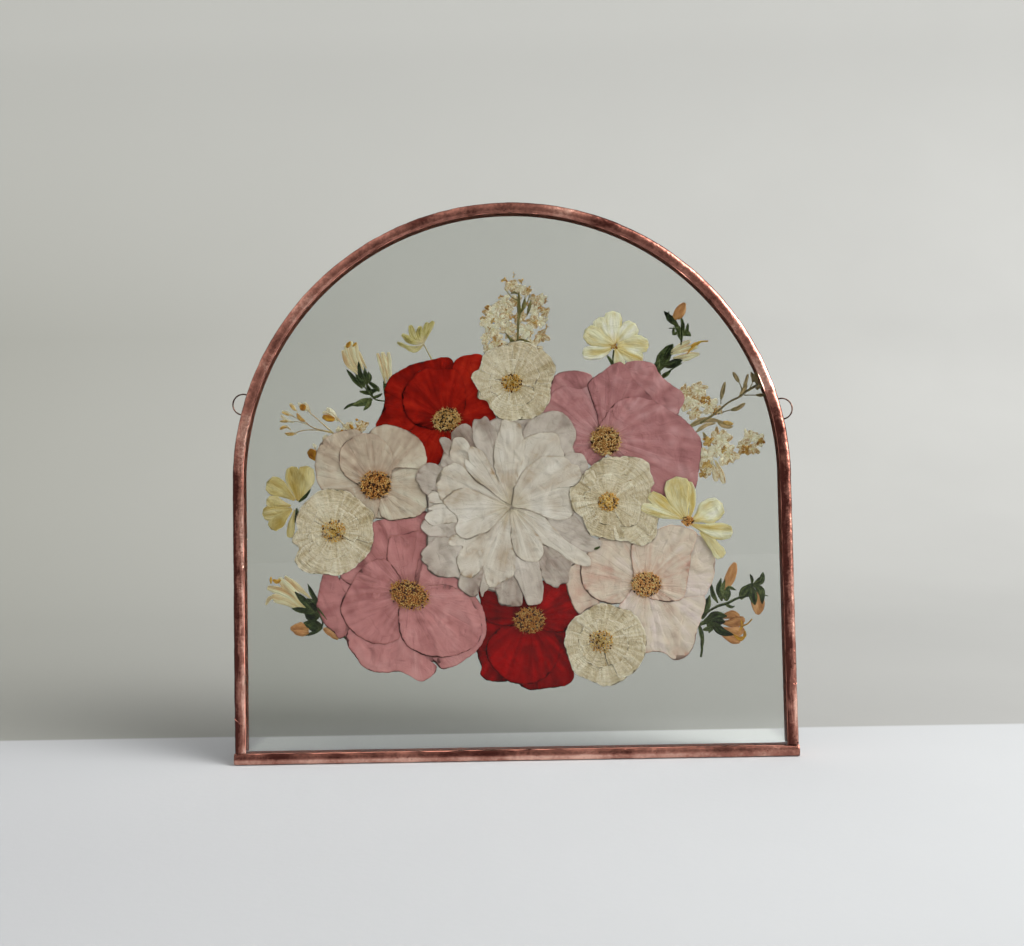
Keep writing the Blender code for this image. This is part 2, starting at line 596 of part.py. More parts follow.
# Four small cream double flowers that lie on top, as outlines.
ROSETTES = [
    ("cream_rosette_top", [
        (471, 376), (479, 368), (483, 355), (492, 349), (503, 345), (516, 341), (530, 343), (543, 350), (552, 359),
        (556, 371), (551, 386), (550, 401), (543, 412), (533, 418), (514, 421), (500, 419), (491, 410), (487, 401),
        (478, 398), (477, 388),
    ]),
    ("cream_rosette_right", [
        (570, 488), (577, 484), (583, 473), (592, 466), (602, 458), (616, 456), (635, 457), (648, 463), (651, 474),
        (655, 482), (650, 492), (660, 506), (658, 524), (655, 538), (641, 546), (630, 542), (616, 541), (602, 538),
        (588, 533), (583, 519), (573, 510), (570, 500),
    ]),
    ("cream_rosette_left", [
        (312, 495), (325, 489), (340, 489), (352, 494), (364, 504), (374, 514), (372, 526), (374, 539), (367, 555),
        (353, 569), (336, 576), (318, 574), (302, 571), (293, 560), (299, 549), (291, 541), (296, 530), (295, 520),
        (301, 506),
    ]),
    ("cream_rosette_bottom", [
        (597, 604), (608, 603), (620, 608), (632, 611), (641, 623), (646, 636), (645, 654), (635, 671), (620, 682),
        (603, 686), (587, 679), (574, 672), (568, 656), (564, 642), (567, 628), (575, 617), (586, 610),
    ]),
]

YELLOW_FLOWER_RIGHT = [
    (650, 492), (661, 500), (664, 487), (674, 478), (686, 480), (691, 496), (697, 511), (708, 502), (718, 500),
    (725, 510), (720, 519), (713, 524), (724, 528), (731, 531), (728, 537), (717, 541), (725, 550), (719, 560),
    (712, 552), (703, 538), (686, 526), (668, 519), (661, 521), (650, 514), (641, 510), (643, 500),
]


def add_flowers():
    stack = Stack()
    for name, thickness, colour, drawn in BACK_PIECES:
        add_flat(stack, name, drawn, thickness, colour)
    for flower, colour, petals, stamens in POPPIES:
        for place, drawn in petals:
            name = f"{flower}_{place}_petal"
            add_pleated(stack, name, drawn, PETAL, colour, PETAL_ROUGHNESS, PETAL_POINTS, PETAL_RINGS)
        name = f"{flower}_stamens"
        add_pleated(
            stack, name, oval(*stamens), STAMENS, STAMEN_GOLD, DRY_ROUGHNESS, STAMEN_POINTS, STAMEN_RINGS
        )
    for tier, count, drawn in PEONY_TIERS:
        name = f"white_peony_{tier}_petals"
        add_pleated(stack, name, drawn, DISC, PEONY_WHITE, PETAL_ROUGHNESS, count, PEONY_RINGS)
    for name, drawn in ROSETTES:
        add_pleated(stack, name, drawn, DISC, CREAM, PETAL_ROUGHNESS, ROSETTE_POINTS, ROSETTE_RINGS)
    add_flat(stack, "yellow_flower_right", YELLOW_FLOWER_RIGHT, DISC, PALE_YELLOW)
    return stack


clear_scene()
add_glass()
add_arch_border()
add_bottom_border()
add_ring("hanging_ring_left", -1, LEFT_RING_HEIGHT)
add_ring("hanging_ring_right", 1, RIGHT_RING_HEIGHT)
flower_stack = add_flowers()
if flower_stack.reach.max() > FLOWER_ROOM - CLEARANCE:
    raise ValueError(f"the flowers reach {flower_stack.reach.max():.5f} m, past the front pane")
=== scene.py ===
import json
from math import cos, pi, radians, sin

import bpy
import numpy as np
from mathutils import Matrix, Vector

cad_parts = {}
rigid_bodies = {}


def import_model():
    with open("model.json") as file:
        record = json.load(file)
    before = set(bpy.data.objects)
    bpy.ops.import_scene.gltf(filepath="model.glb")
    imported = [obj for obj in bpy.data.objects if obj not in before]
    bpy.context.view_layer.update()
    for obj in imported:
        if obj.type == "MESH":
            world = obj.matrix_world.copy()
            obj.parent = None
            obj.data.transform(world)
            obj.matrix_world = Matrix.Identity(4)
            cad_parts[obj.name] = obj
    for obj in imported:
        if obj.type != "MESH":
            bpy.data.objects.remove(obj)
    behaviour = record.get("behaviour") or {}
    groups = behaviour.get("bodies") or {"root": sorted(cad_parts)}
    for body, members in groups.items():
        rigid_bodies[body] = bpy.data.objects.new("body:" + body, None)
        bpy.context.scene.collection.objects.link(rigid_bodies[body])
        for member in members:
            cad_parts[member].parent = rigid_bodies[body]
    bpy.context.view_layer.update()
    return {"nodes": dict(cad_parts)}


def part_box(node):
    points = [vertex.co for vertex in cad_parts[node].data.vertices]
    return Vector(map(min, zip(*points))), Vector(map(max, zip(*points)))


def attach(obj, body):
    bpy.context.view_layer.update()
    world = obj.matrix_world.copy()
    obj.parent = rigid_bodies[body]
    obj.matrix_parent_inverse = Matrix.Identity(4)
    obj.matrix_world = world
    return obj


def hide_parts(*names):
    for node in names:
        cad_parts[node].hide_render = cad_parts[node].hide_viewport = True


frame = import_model()

# ---------------------------------------------------------------- the picture and the studio
# The frame stands on a pale table in front of a far, pale, seamless backdrop. Light comes from a
# soft dome that is brighter high on the right, as from a large window on that side.

PICTURE_WIDTH = 1024
FOCAL_LENGTH_PX = 1000
SENSOR = 36.0
CAMERA_TURN = 0.0084922
CAMERA_PITCH = -0.0356987
CAMERA_ROLL = -0.0187600
FRAME_FROM_CAMERA = np.array([-0.000484, 0.003066, 0.543686])
AIMED_HEIGHT = 0.1525
FRONT_FACE = -0.0048


def about(axis, angle):
    """A turn about one axis, as a 3 by 3 table."""
    c, s = cos(angle), sin(angle)
    turns = {
        "x": [[1, 0, 0], [0, c, -s], [0, s, c]],
        "y": [[c, 0, s], [0, 1, 0], [-s, 0, c]],
        "z": [[c, -s, 0], [s, c, 0], [0, 0, 1]],
    }
    return np.array(turns[axis])


def camera_pose():
    """Where the camera stands, from how it sees the frame: right, down and into the picture."""
    seen = about("z", CAMERA_ROLL) @ about("x", CAMERA_PITCH) @ about("y", CAMERA_TURN)
    place = -seen.T @ FRAME_FROM_CAMERA
    right, down, ahead = (np.array([row[0], row[2], -row[1]]) for row in seen)
    pose = np.eye(4)
    pose[:3, 0], pose[:3, 1], pose[:3, 2] = right, -down, -ahead
    pose[:3, 3] = [place[0], FRONT_FACE + place[2], AIMED_HEIGHT - place[1]]
    return Matrix(pose.tolist())


def show(name, data):
    """A new object in the picture, from its data."""
    made = bpy.data.objects.new(name, data)
    bpy.context.scene.collection.objects.link(made)
    return made


lens = bpy.data.cameras.new("camera")
lens.sensor_width = SENSOR
lens.lens = SENSOR * FOCAL_LENGTH_PX / PICTURE_WIDTH
lens.clip_start = 0.01
camera = show("camera", lens)
camera.matrix_world = camera_pose()
bpy.context.scene.camera = camera
bpy.context.scene.view_settings.view_transform = "Standard"


def fill(tree, node, inputs):
    """Joins each input of a node, by name or number, to a socket or sets it to a value."""
    for key, value in inputs.items():
        if isinstance(value, bpy.types.NodeSocket):
            tree.links.new(value, node.inputs[key])
        else:
            node.inputs[key].default_value = value


def add_node(tree, kind, inputs, **settings):
    """Adds one node with its settings and fills its inputs."""
    made = tree.nodes.new("ShaderNode" + kind)
    for key, value in settings.items():
        setattr(made, key, value)
    fill(tree, made, inputs)
    return made


def sums(tree, operation, *values, clamp=False):
    """One step of arithmetic between numbers or sockets."""
    return add_node(tree, "Math", dict(enumerate(values)), operation=operation, use_clamp=clamp).outputs[0]


def climb(tree, high, low, slope):
    """How far high stands above low, times a slope, kept from 0 to 1."""
    return sums(tree, "MULTIPLY", sums(tree, "SUBTRACT", high, low), slope, clamp=True)


def noise(tree, place, scale, detail, **settings):
    """Soft chance from 0 to 1 at a place, with its scale and detail."""
    inputs = {"Vector": place, "Scale": scale, "Detail": detail}
    inputs.update({name.capitalize(): value for name, value in settings.items()})
    return add_node(tree, "TexNoise", inputs).outputs["Fac"]


def bumps(tree, height, strength, distance):
    """Small ups and downs of the surface, from a height."""
    return add_node(tree, "Bump", {"Height": height, "Strength": strength, "Distance": distance}).outputs[0]


def apart(tree, place):
    """The x, y and z of a place, each on its own."""
    return add_node(tree, "SeparateXYZ", {0: place}).outputs


def in_mirror(tree, share):
    """A share that counts only in what a mirror-like face, such as a pane, shows."""
    path = add_node(tree, "LightPath", {}).outputs
    mirrored = sums(tree, "MULTIPLY", path["Is Singular Ray"], path["Glossy Depth"], clamp=True)
    return sums(tree, "MULTIPLY", mirrored, share)


def new_material(name):
    """A fresh material: itself, its nodes, its shader and the place on the object."""
    made = bpy.data.materials.new(name)
    made.use_nodes = True
    tree = made.node_tree
    return made, tree, tree.nodes["Principled BSDF"], add_node(tree, "TexCoord", {}).outputs["Object"]


def paint(red, green, blue):
    """A screen colour from 0 to 255 as the light that it stands for."""
    share = np.array([red, green, blue]) / 255
    light = np.where(share <= 0.04045, share / 12.92, ((share + 0.055) / 1.055) ** 2.4)
    return (*light.tolist(), 1.0)


def mixed(tree, share, first, second):
    """A blend of two colours by a share from 0 to 1."""
    return add_node(tree, "Mix", {0: share, 6: first, 7: second}, data_type="RGBA").outputs[2]


def graded(tree, share, *stops):
    """A colour read from stops of (place, colour)."""
    ramp = add_node(tree, "ValToRGB", {0: share})
    marks = ramp.color_ramp.elements
    while len(marks) < len(stops):
        marks.new(0.5)
    for mark, (place, colour) in zip(marks, stops):
        mark.position = place
        mark.color = colour
    return ramp.outputs[0]


WINDOW_SIDE = (0.745, -0.447, 0.497)
WINDOW_LEVEL = 26.0
WINDOW_SPREAD = 20.0
CEILING_SIDE = (-0.42, -0.36, 0.83)
CEILING_LEVEL = 0.9
CEILING_SPREAD = 2.0
ROOM_LEVEL = 0.27
ROOM_IN_GLASS = 0.97

studio = bpy.data.worlds.new("studio_dome")
studio.use_nodes = True
bpy.context.scene.world = studio
dome = studio.node_tree
way = add_node(dome, "TexCoord", {}).outputs["Generated"]
level = ROOM_LEVEL
for side, strength, spread in (
    (WINDOW_SIDE, WINDOW_LEVEL, WINDOW_SPREAD),
    (CEILING_SIDE, CEILING_LEVEL, CEILING_SPREAD),
):
    towards = add_node(dome, "VectorMath", {0: way, 1: side}, operation="DOT_PRODUCT").outputs["Value"]
    lobe = sums(dome, "POWER", sums(dome, "MULTIPLY", towards, 1.0, clamp=True), spread)
    level = sums(dome, "MULTIPLY_ADD", lobe, strength, level)
split = apart(dome, way)
bright = sums(dome, "SUBTRACT", split["X"], 0.35)
bright = sums(dome, "MAXIMUM", bright, sums(dome, "SUBTRACT", split["Z"], 0.55))
bright = sums(dome, "MAXIMUM", bright, sums(dome, "SUBTRACT", -0.45, split["X"]))
dim = in_mirror(dome, sums(dome, "SUBTRACT", 1.0, sums(dome, "MULTIPLY", bright, 5.0, clamp=True)))
kept = sums(dome, "SUBTRACT", 1.0, sums(dome, "MULTIPLY", dim, ROOM_IN_GLASS))
fill(dome, dome.nodes["Background"], {
    "Color": (1.0, 0.985, 0.96, 1.0),
    "Strength": sums(dome, "MULTIPLY", level, kept),
})

TABLE_BACK = 0.0645
EDGE_BLEND = 0.004
SWEEP_START = 0.7
SWEEP_RADIUS = 1.3
STAGE_FRONT = -2.2
STAGE_HALF = 3.0
WALL_TOP = 3.0
FRAME_HALF = 0.157


def studio_sweep():
    """Table and backdrop in one skin: flat to SWEEP_START, a quarter round, then straight up."""
    bend = np.linspace(0, pi / 2, 25)
    y = np.concatenate([[STAGE_FRONT, TABLE_BACK], SWEEP_START + SWEEP_RADIUS * np.sin(bend)])
    z = np.concatenate([[0, 0], SWEEP_RADIUS * (1 - np.cos(bend))])
    y = np.append(y, y[-1])
    z = np.append(z, WALL_TOP)
    x = np.array([-STAGE_HALF, STAGE_HALF])
    points = np.stack([np.repeat(x, len(y)), np.tile(y, 2), np.tile(z, 2)], axis=1)
    here = np.arange(len(y) - 1)
    faces = np.stack([here, here + len(y), here + len(y) + 1, here + 1], axis=1)
    return points, faces


points, faces = studio_sweep()
mesh = bpy.data.meshes.new("studio_sweep")
mesh.from_pydata(points.tolist(), [], faces.tolist())
mesh.shade_smooth()
show("studio_sweep", mesh)

plaster, tree, shader, place = new_material("pale_plaster")
split = apart(tree, place)
depth = split["Y"]
cloud = noise(tree, place, 3.0, 4.0)
# Painted light: table and wall are painted darker to the left and lighter to the right, as the window light
# falls.
ahead = sums(tree, "MAXIMUM", sums(tree, "ADD", depth, 0.55), 0.4)
aside = sums(tree, "MULTIPLY_ADD", sums(tree, "DIVIDE", split["X"], ahead), 0.9, 0.5, clamp=True)
table = graded(tree, cloud, (0.3, paint(168, 171, 174)), (0.7, paint(174, 177, 180)))
table = mixed(tree, aside, paint(148, 150, 153), table)
# Painted light: the table is lightened just in front of the wall beside the frame, where shade would gather.
beside = sums(tree, "SUBTRACT", FRAME_HALF, sums(tree, "ABSOLUTE", split["X"]))
beside = sums(tree, "MULTIPLY", beside, 150.0, clamp=True)
near_wall_painted_light = sums(tree, "MULTIPLY", climb(tree, depth, -0.004, 80.0), beside)
table = mixed(tree, sums(tree, "MULTIPLY", near_wall_painted_light, 0.5), table, paint(206, 209, 211))
# Painted reflection: the table in front shows near black in what the panes mirror.
table = mixed(tree, in_mirror(tree, climb(tree, -0.04, depth, 12.0)), table, paint(14, 14, 14))
wall = graded(tree, cloud, (0.3, paint(144, 145, 144)), (0.7, paint(148, 149, 148)))
wall = mixed(tree, aside, paint(115, 116, 111), wall)
# Painted light: the wall is painted lighter higher up.
upper = climb(tree, split["Z"], 0.55, 1.2)
wall = mixed(tree, sums(tree, "MULTIPLY", upper, 0.5), wall, paint(174, 175, 173))
behind = sums(tree, "DIVIDE", sums(tree, "SUBTRACT", depth, TABLE_BACK), EDGE_BLEND, clamp=True)
fill(tree, shader, {
    "Base Color": mixed(tree, behind, table, wall),
    "Roughness": 0.9,
    "Normal": bumps(tree, noise(tree, place, 260.0, 3.0), 0.15, 0.0004),
})
mesh.materials.append(plaster)

# ---------------------------------------------------------------- glass
# Two sheets of thin clear glass, cut to the same arch and a touch green where one looks through both.
# They stay as the frame has them and get the glass.

glass, tree, shader, place = new_material("clear_glass")
haze = noise(tree, place, 9.0, 3.0)
fill(tree, shader, {
    "Base Color": graded(tree, haze, (0.35, (0.905, 0.918, 0.9, 1)), (0.65, (0.925, 0.935, 0.918, 1))),
    "Transmission Weight": 1.0,
    "IOR": 1.5,
    "Roughness": 0.0,
})
for name in ("front_pane", "back_pane"):
    pane = frame["nodes"][name]
    pane.data.materials.clear()
    pane.data.materials.append(glass)

# ---------------------------------------------------------------- sprigs and small blossoms
# Thin buds, leaves, stems and little crumpled flowers, pressed flat and laid on the back pane first.
# Each one is a narrow blade along its own middle line; a sprig is several of them laid together.

DRAWING_MIDDLE = (511.2, 480.0)
MIDDLE_HEIGHT = 0.15187
DRAWING_UNIT = 0.0005478
DRAWING_TURN = radians(1.08)
DRAWING_LEAN = 0.0000355


def on_glass(drawn):
    """Points of the picture laid on the glass, as (x, z): moved, turned back and made metres."""
    drawn = np.asarray(drawn, float)
    right = drawn[..., 0] - DRAWING_MIDDLE[0]
    up = DRAWING_MIDDLE[1] - drawn[..., 1]
    across = right * cos(DRAWING_TURN) + up * sin(DRAWING_TURN)
    rise = up * cos(DRAWING_TURN) - right * sin(DRAWING_TURN)
    unit = DRAWING_UNIT * (1 + DRAWING_LEAN * rise)
    return np.stack([across * unit, MIDDLE_HEIGHT + rise * unit], axis=-1)


def paced(line, count, to_end=True):
    """count points at even steps along a line of short straight bits."""
    walked = np.concatenate([[0.0], np.cumsum(np.linalg.norm(np.diff(line, axis=0), axis=1))])
    stops = np.linspace(0, walked[-1], count, endpoint=to_end)
    return np.stack([np.interp(stops, walked, column) for column in line.T], axis=1)


def even_walk(points, count, closed=True):
    """count points at even steps along a Catmull-Rom curve through the given points."""
    points = np.asarray(points, float)
    if closed:
        before, after, beyond = (np.roll(points, step, axis=0) for step in (1, -1, -2))
    else:
        padded = np.concatenate([2 * points[:1] - points[1:2], points, 2 * points[-1:] - points[-2:-1]])
        before, points, after, beyond = padded[:-3], padded[1:-2], padded[2:-1], padded[3:]
    t = np.linspace(0, 1, 16, endpoint=False)[:, None, None]
    curve = points + 0.5 * t * (after - before)
    curve = curve + 0.5 * t**2 * (2 * before - 5 * points + 4 * after - beyond)
    curve = curve + 0.5 * t**3 * (3 * points - before - 3 * after + beyond)
    curve = curve.transpose(1, 0, 2).reshape(-1, points.shape[1])
    curve = np.concatenate([curve, curve[:1] if closed else after[-1:]])
    return paced(curve, count, to_end=not closed)


def at_depth(flat, depth):
    """Flat points, (x, z), set at their depths."""
    return np.stack([flat[..., 0], depth, flat[..., 1]], axis=-1)


def swell(x, y, seed):
    """Smooth chance from -1 to 1 over a plane: a chance value at each whole point, softly blended."""
    column, row = np.floor(x), np.floor(y)
    right, up = x - column, y - row
    right, up = right * right * (3 - 2 * right), up * up * (3 - 2 * up)

    def chance(step, climb):
        wild = np.sin((column + step) * 127.1 + (row + climb) * 311.7 + seed * 74.7) * 43758.5453
        return 2 * (wild - np.floor(wild)) - 1

    low = chance(0, 0) * (1 - right) + chance(1, 0) * right
    high = chance(0, 1) * (1 - right) + chance(1, 1) * right
    return low * (1 - up) + high * up


def around(first, size, steps, spokes):
    """Quads from each ring of a skin to the next, from the number of the first point."""
    spoke = np.arange(spokes)
    beside = (spoke + 1) % spokes
    start = first + size * np.arange(steps)[:, None]
    quads = np.stack([start + spoke, start + beside, start + size + beside, start + size + spoke], axis=-1)
    return quads.reshape(-1, 4)


def closed_skin(rings, first_pole, last_pole):
    """One closed skin from rings of points, (rings, spokes, 3), and a point that closes each end.

    Quads join ring to ring and a fan of triangles closes each end. If the skin holds less than
    nothing, every face is turned round, so that all of them face outward.
    """
    count, spokes = rings.shape[:2]
    points = np.concatenate([[first_pole], rings.reshape(-1, 3), [last_pole]])
    quads = around(1, spokes, count - 1, spokes)
    spoke = np.arange(spokes)
    beside = (spoke + 1) % spokes
    last = 1 + spokes * (count - 1)
    head = np.stack([np.zeros_like(spoke), 1 + beside, 1 + spoke], axis=1)
    tail = np.stack([np.full_like(spoke, len(points) - 1), last + spoke, last + beside], axis=1)
    tris = np.concatenate([head, tail])
    held = np.concatenate([quads[:, :3], quads[:, [0, 2, 3]], tris])
    a, b, c = (points[held[:, corner]] - points[0] for corner in range(3))
    if np.einsum("ij,ij->", a, np.cross(b, c)) < 0:
        quads, tris = quads[:, ::-1], tris[:, ::-1]
    return {"points": points, "quads": quads, "tris": tris}


# under carries painted shadow: below petal rims and on their dark lips.
CARRIED = {"edge": 0.5, "fold": 0.5, "tone": 0.5, "reach": 0.5, "under": 0.0}


def make_piece(name, skins, material, slot, *nodes):
    """One object from closed skins. A skin may carry veins, a flat map, and the values of CARRIED."""
    starts = np.cumsum([0] + [len(skin["points"]) for skin in skins[:-1]])
    points = np.concatenate([skin["points"] for skin in skins])
    faces = []
    for form in ("quads", "tris"):
        faces += np.concatenate([skin[form] + start for skin, start in zip(skins, starts)]).tolist()
    mesh = bpy.data.meshes.new(name)
    mesh.from_pydata(points.tolist(), [], faces)
    for field, usual in CARRIED.items():
        values = [np.broadcast_to(skin.get(field, usual), len(skin["points"])) for skin in skins]
        mesh.attributes.new(field, "FLOAT", "POINT").data.foreach_set("value", np.concatenate(values))
    flat = [skin.get("veins", skin["points"][:, [0, 2]]) for skin in skins]
    corners = np.zeros(len(mesh.loops), np.int32)
    mesh.loops.foreach_get("vertex_index", corners)
    layer = mesh.uv_layers.new(name="veins")
    layer.data.foreach_set("uv", np.concatenate(flat)[corners].ravel())
    mesh.shade_smooth()
    piece = show(name, mesh)
    mesh.materials.append(material)
    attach(piece, "root")
    if nodes:
        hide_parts(*nodes)
    return piece


PETAL_RELIEF = 0.0006


def paints(text):
    """Several screen colours, each written as red,green,blue."""
    return [paint(*(float(part) for part in colour.split(","))) for colour in text.split()]


def carried(tree, name):
    """A value that the mesh carries from point to point."""
    return add_node(tree, "Attribute", {}, attribute_name=name).outputs["Fac"]


def stretched(tree, flat, scale):
    """A place or a flat map, drawn out or squeezed."""
    return add_node(tree, "Mapping", {"Vector": flat, "Scale": scale}).outputs[0]


def swayed(tree, total, value, share, middle=0.5):
    """A total, raised or lowered by a share of what a value has over its middle."""
    return sums(tree, "MULTIPLY_ADD", sums(tree, "SUBTRACT", value, middle), share, total)


def crease(tree, value, slope):
    """A thin line, 0 where the value crosses its middle and 1 away from there."""
    off = sums(tree, "ABSOLUTE", sums(tree, "SUBTRACT", value, 0.5))
    return sums(tree, "MULTIPLY", off, slope, clamp=True)


def petal_material(name, colours, rough=0.72, vein=0.1, spots=0.25, pleats=5.0, crumple=120.0, crease_shade=0.03,
                   lumpy=0.9, broad=4.5, painted_shadow_strength=0.8, core=2.4, sharp=0.14, gloss=0.2, arcs=0.0):
    """Dried petal: tone from veins and painted shade from the height of its folds, with sharp creases,
    painted darker along their lines, that run outwards and across.

    The five colours are dark, middle, light, that of the heart and that of the rim. A crease is
    where a stretched noise crosses its middle value, so it is a thin line of any length.
    """
    dark, middle, light, heart, rim = paints(colours)
    made, tree, shader, place = new_material(name)
    veins = add_node(tree, "UVMap", {}, uv_map="veins").outputs[0]
    wide_pleat = noise(tree, stretched(tree, veins, (pleats, 0.9, 1.0)), 1.0, 2.0)
    streak = noise(tree, stretched(tree, veins, (3.4 * pleats, 2.4, 1.0)), 1.0, 4.0, roughness=0.6)
    lump = noise(tree, place, crumple, 3.0, distortion=0.6)
    blotch = noise(tree, place, 90.0, 3.0)
    wave = noise(tree, place, 85.0, 1.0, distortion=0.6)
    grain = noise(tree, place, 1500.0, 2.0)
    long_crease = crease(tree, wide_pleat, 16.0)
    cross_crease = crease(tree, lump, 14.0)
    shade = sums(tree, "ADD", carried(tree, "fold"), sums(tree, "SUBTRACT", carried(tree, "tone"), 0.5))
    shade = swayed(tree, shade, streak, vein)
    shade = swayed(tree, shade, blotch, spots)
    # Painted shade along the crease lines, where the bump below sinks into its valleys.
    shade = swayed(tree, shade, long_crease, crease_shade, middle=1.0)
    shade = swayed(tree, shade, cross_crease, crease_shade, middle=1.0)
    colour = graded(tree, shade, (0.08, dark), (0.48, middle), (0.9, light))
    off_heart = sums(tree, "MULTIPLY", carried(tree, "reach"), core, clamp=True)
    near_heart = sums(tree, "SUBTRACT", 1.0, off_heart)
    colour = mixed(tree, sums(tree, "MULTIPLY", near_heart, 0.7), colour, heart)
    at_rim = sums(tree, "POWER", sums(tree, "SUBTRACT", 1.0, carried(tree, "edge"), clamp=True), 4.0)
    colour = mixed(tree, sums(tree, "MULTIPLY", at_rim, 0.6), colour, rim)
    # Painted shadow: the under value blends in a dark share of the dark colour below petal rims and on their
    # lips.
    painted_shadow_colour = [0.3 * part for part in dark[:3]] + [1.0]
    colour = mixed(tree, sums(tree, "MULTIPLY", carried(tree, "under"), painted_shadow_strength), colour, painted_shadow_colour)
    height = sums(tree, "MULTIPLY", long_crease, sharp)
    for value, share in (
        (cross_crease, sharp), (wide_pleat, 1.0), (lump, lumpy), (wave, broad), (streak, 0.22),
    ):
        height = sums(tree, "MULTIPLY_ADD", value, share, height)
    if arcs:
        round_heart = stretched(tree, veins, (2.6, 26.0, 1.0))
        ripple = noise(tree, round_heart, 1.0, 3.0, distortion=0.7)
        height = sums(tree, "MULTIPLY_ADD", ripple, arcs, height)
        # Painted shade in the low places of the ripples.
        colour = mixed(tree, climb(tree, 0.5, ripple, 1.6), colour, dark)
    height = sums(tree, "MULTIPLY_ADD", grain, 0.05, height)
    fill(tree, shader, {
        "Base Color": colour,
        "Roughness": sums(tree, "MULTIPLY_ADD", grain, 0.2, rough - 0.1),
        "Specular IOR Level": gloss,
        "Normal": bumps(tree, height, 1.0, PETAL_RELIEF),
    })
    return made


BLADE_SHAPES = {
    "stem": [1.0, 0.92, 0.84, 0.78, 0.7],
    "leaf": [0.3, 0.8, 1.0, 0.95, 0.7, 0.12],
    "bud": [0.5, 0.85, 1.0, 0.98, 0.8, 0.35],
    "petal": [0.22, 0.5, 0.8, 1.0, 0.96, 0.55],
    "fan": [0.12, 0.4, 0.7, 0.95, 1.0, 0.72],
}
LONG_BLADE = (15, 14)
SHORT_BLADE = (9, 10)
LONG_FROM = 13
TIP = 0.35
LEAF_SHEET = 0.00007
BUD_SHEET = 0.00022
LEAF_KEEL = 0.00012
LONG_CREASE = 0.00009
SHORT_CREASE = 0.00017
GOLDEN_ANGLE = 2.39996


def blade_skin(kind, width, path, level, seed):
    """A leaf, petal, bud or stem: an oval section carried along its middle line.

    P(t, a) = line(t) + side(t) * half_width(t) * cos a, and the depth is a thin oval plus creases
    that run lengthwise. The width follows the shape's list from base to tip.
    """
    ends = np.array(path[0]), np.array(path[-1])
    stations, spokes = LONG_BLADE if np.hypot(*(ends[1] - ends[0])) > LONG_FROM else SHORT_BLADE
    line = on_glass(even_walk(path, stations, closed=False))
    t = np.linspace(0, 1, stations)
    along = np.gradient(line, axis=0)
    along = along / np.linalg.norm(along, axis=1)[:, None]
    side = np.stack([-along[:, 1], along[:, 0]], axis=1)
    shape = BLADE_SHAPES[kind]
    half = 0.5 * width * DRAWING_UNIT * np.interp(t, np.linspace(0, 1, len(shape)), shape)
    half = half * (1 + 0.16 * swell(t * 4.5, t * 0 + seed, seed))
    angle = np.linspace(0, 2 * pi, spokes, endpoint=False)
    across = np.cos(angle)[None, :] * np.ones((stations, 1))
    through = np.sin(angle)[None, :] * np.ones((stations, 1))
    run = t[:, None] * np.ones_like(across)
    flat = line[:, None] + side[:, None] * (half[:, None] * across)[..., None]
    creases = swell(across * 2.6 + seed, run * 1.6, seed + 1)
    creases = creases + 0.5 * swell(across * 5.2, run * 3.0, seed + 2)
    if kind == "stem":
        deep = half[:, None] * through
    elif kind == "bud":
        deep = np.minimum(half[:, None], BUD_SHEET) * through * (1 + 0.35 * creases)
    else:
        keel = LEAF_KEEL * (1 - np.abs(across)) * np.sin(pi * run)
        depth = LONG_CREASE if stations == LONG_BLADE[0] else SHORT_CREASE
        deep = LEAF_SHEET * through + depth * creases * (1 - across**2) + keel
    points = at_depth(flat, level - deep)
    ends = [points[0].mean(axis=0), points[-1].mean(axis=0)]
    reach = TIP * half[-1] * along[-1]
    ends[1] = ends[1] + np.array([reach[0], 0, reach[1]])
    skin = closed_skin(points, *ends)

    def told(values, first, last):
        return np.concatenate([[first], values.reshape(-1, *values.shape[2:]), [last]])

    # The fold value follows the creases of the depth: painted shade where they sink, lighter where they
    # rise.
    skin["fold"] = told(np.clip(0.5 + 0.32 * creases, 0, 1), 0.4, 0.5)
    skin["edge"] = told(np.clip(1.0 - np.abs(across) ** 3, 0, 1), 1.0, 0.3)
    skin["reach"] = told(run, 0.0, 1.0)
    skin["veins"] = told(np.stack([across * 0.6 + seed, run * 1.4], axis=-1), [seed, 0], [seed, 1.4])
    skin["tone"] = 0.5 + 0.16 * sin(seed * 7.3)
    return skin


def blade_group(blades, back, front, seed):
    """Skins of several blades, laid one on another from back to front in the order given."""
    levels = np.linspace(back, front, len(blades) + 2)[1:-1]
    laid = enumerate(zip(blades, levels))
    return [blade_skin(*blade, level, seed + 1.7 * number) for number, (blade, level) in laid]


def puff(middle, radius, count, turn):
    """A small crumpled blossom: narrow petals a golden angle apart, the long ones laid first."""
    count = int(1.6 * count)
    angles = turn + GOLDEN_ANGLE * np.arange(count)
    reach = radius * np.linspace(1.05, 0.5, count) * (0.88 + 0.12 * np.sin(angles * 3.1 + turn))
    bent = angles + 0.45 * np.sin(angles * 1.7)
    middle = np.array(middle, float)
    half = middle + 0.5 * (reach * np.stack([np.cos(angles), np.sin(angles)])).T
    tips = middle + (reach * np.stack([np.cos(bent), np.sin(bent)])).T
    widths = radius * (0.46 + 0.16 * np.cos(angles * 2.3))
    return [("petal", width, [middle, a, b]) for width, a, b in zip(widths, half, tips)]


def points_of(text):
    """Points of the picture, each written as x,y."""
    return [tuple(float(part) for part in point.split(",")) for point in text.split()]


def blades_of(text):
    """The blades of a list: each is a shape, its width and the points of its middle line.

    A puff is a whole blossom: its middle, its radius, its count of petals and its turn.
    """
    entries = []
    for word in text.split():
        if word.isalpha():
            entries.append([word])
        else:
            entries[-1].append(word)
    blades = []
    for kind, first, *others in entries:
        if kind == "puff":
            blades += puff(points_of(first)[0], *(float(part) for part in others))
        else:
            blades.append((kind, float(first), points_of(" ".join(others))))
    return blades


def box_levels(node):
    """The back and front of the room that a node of the frame takes, as depths."""
    low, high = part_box(node)
    return high.y, low.y


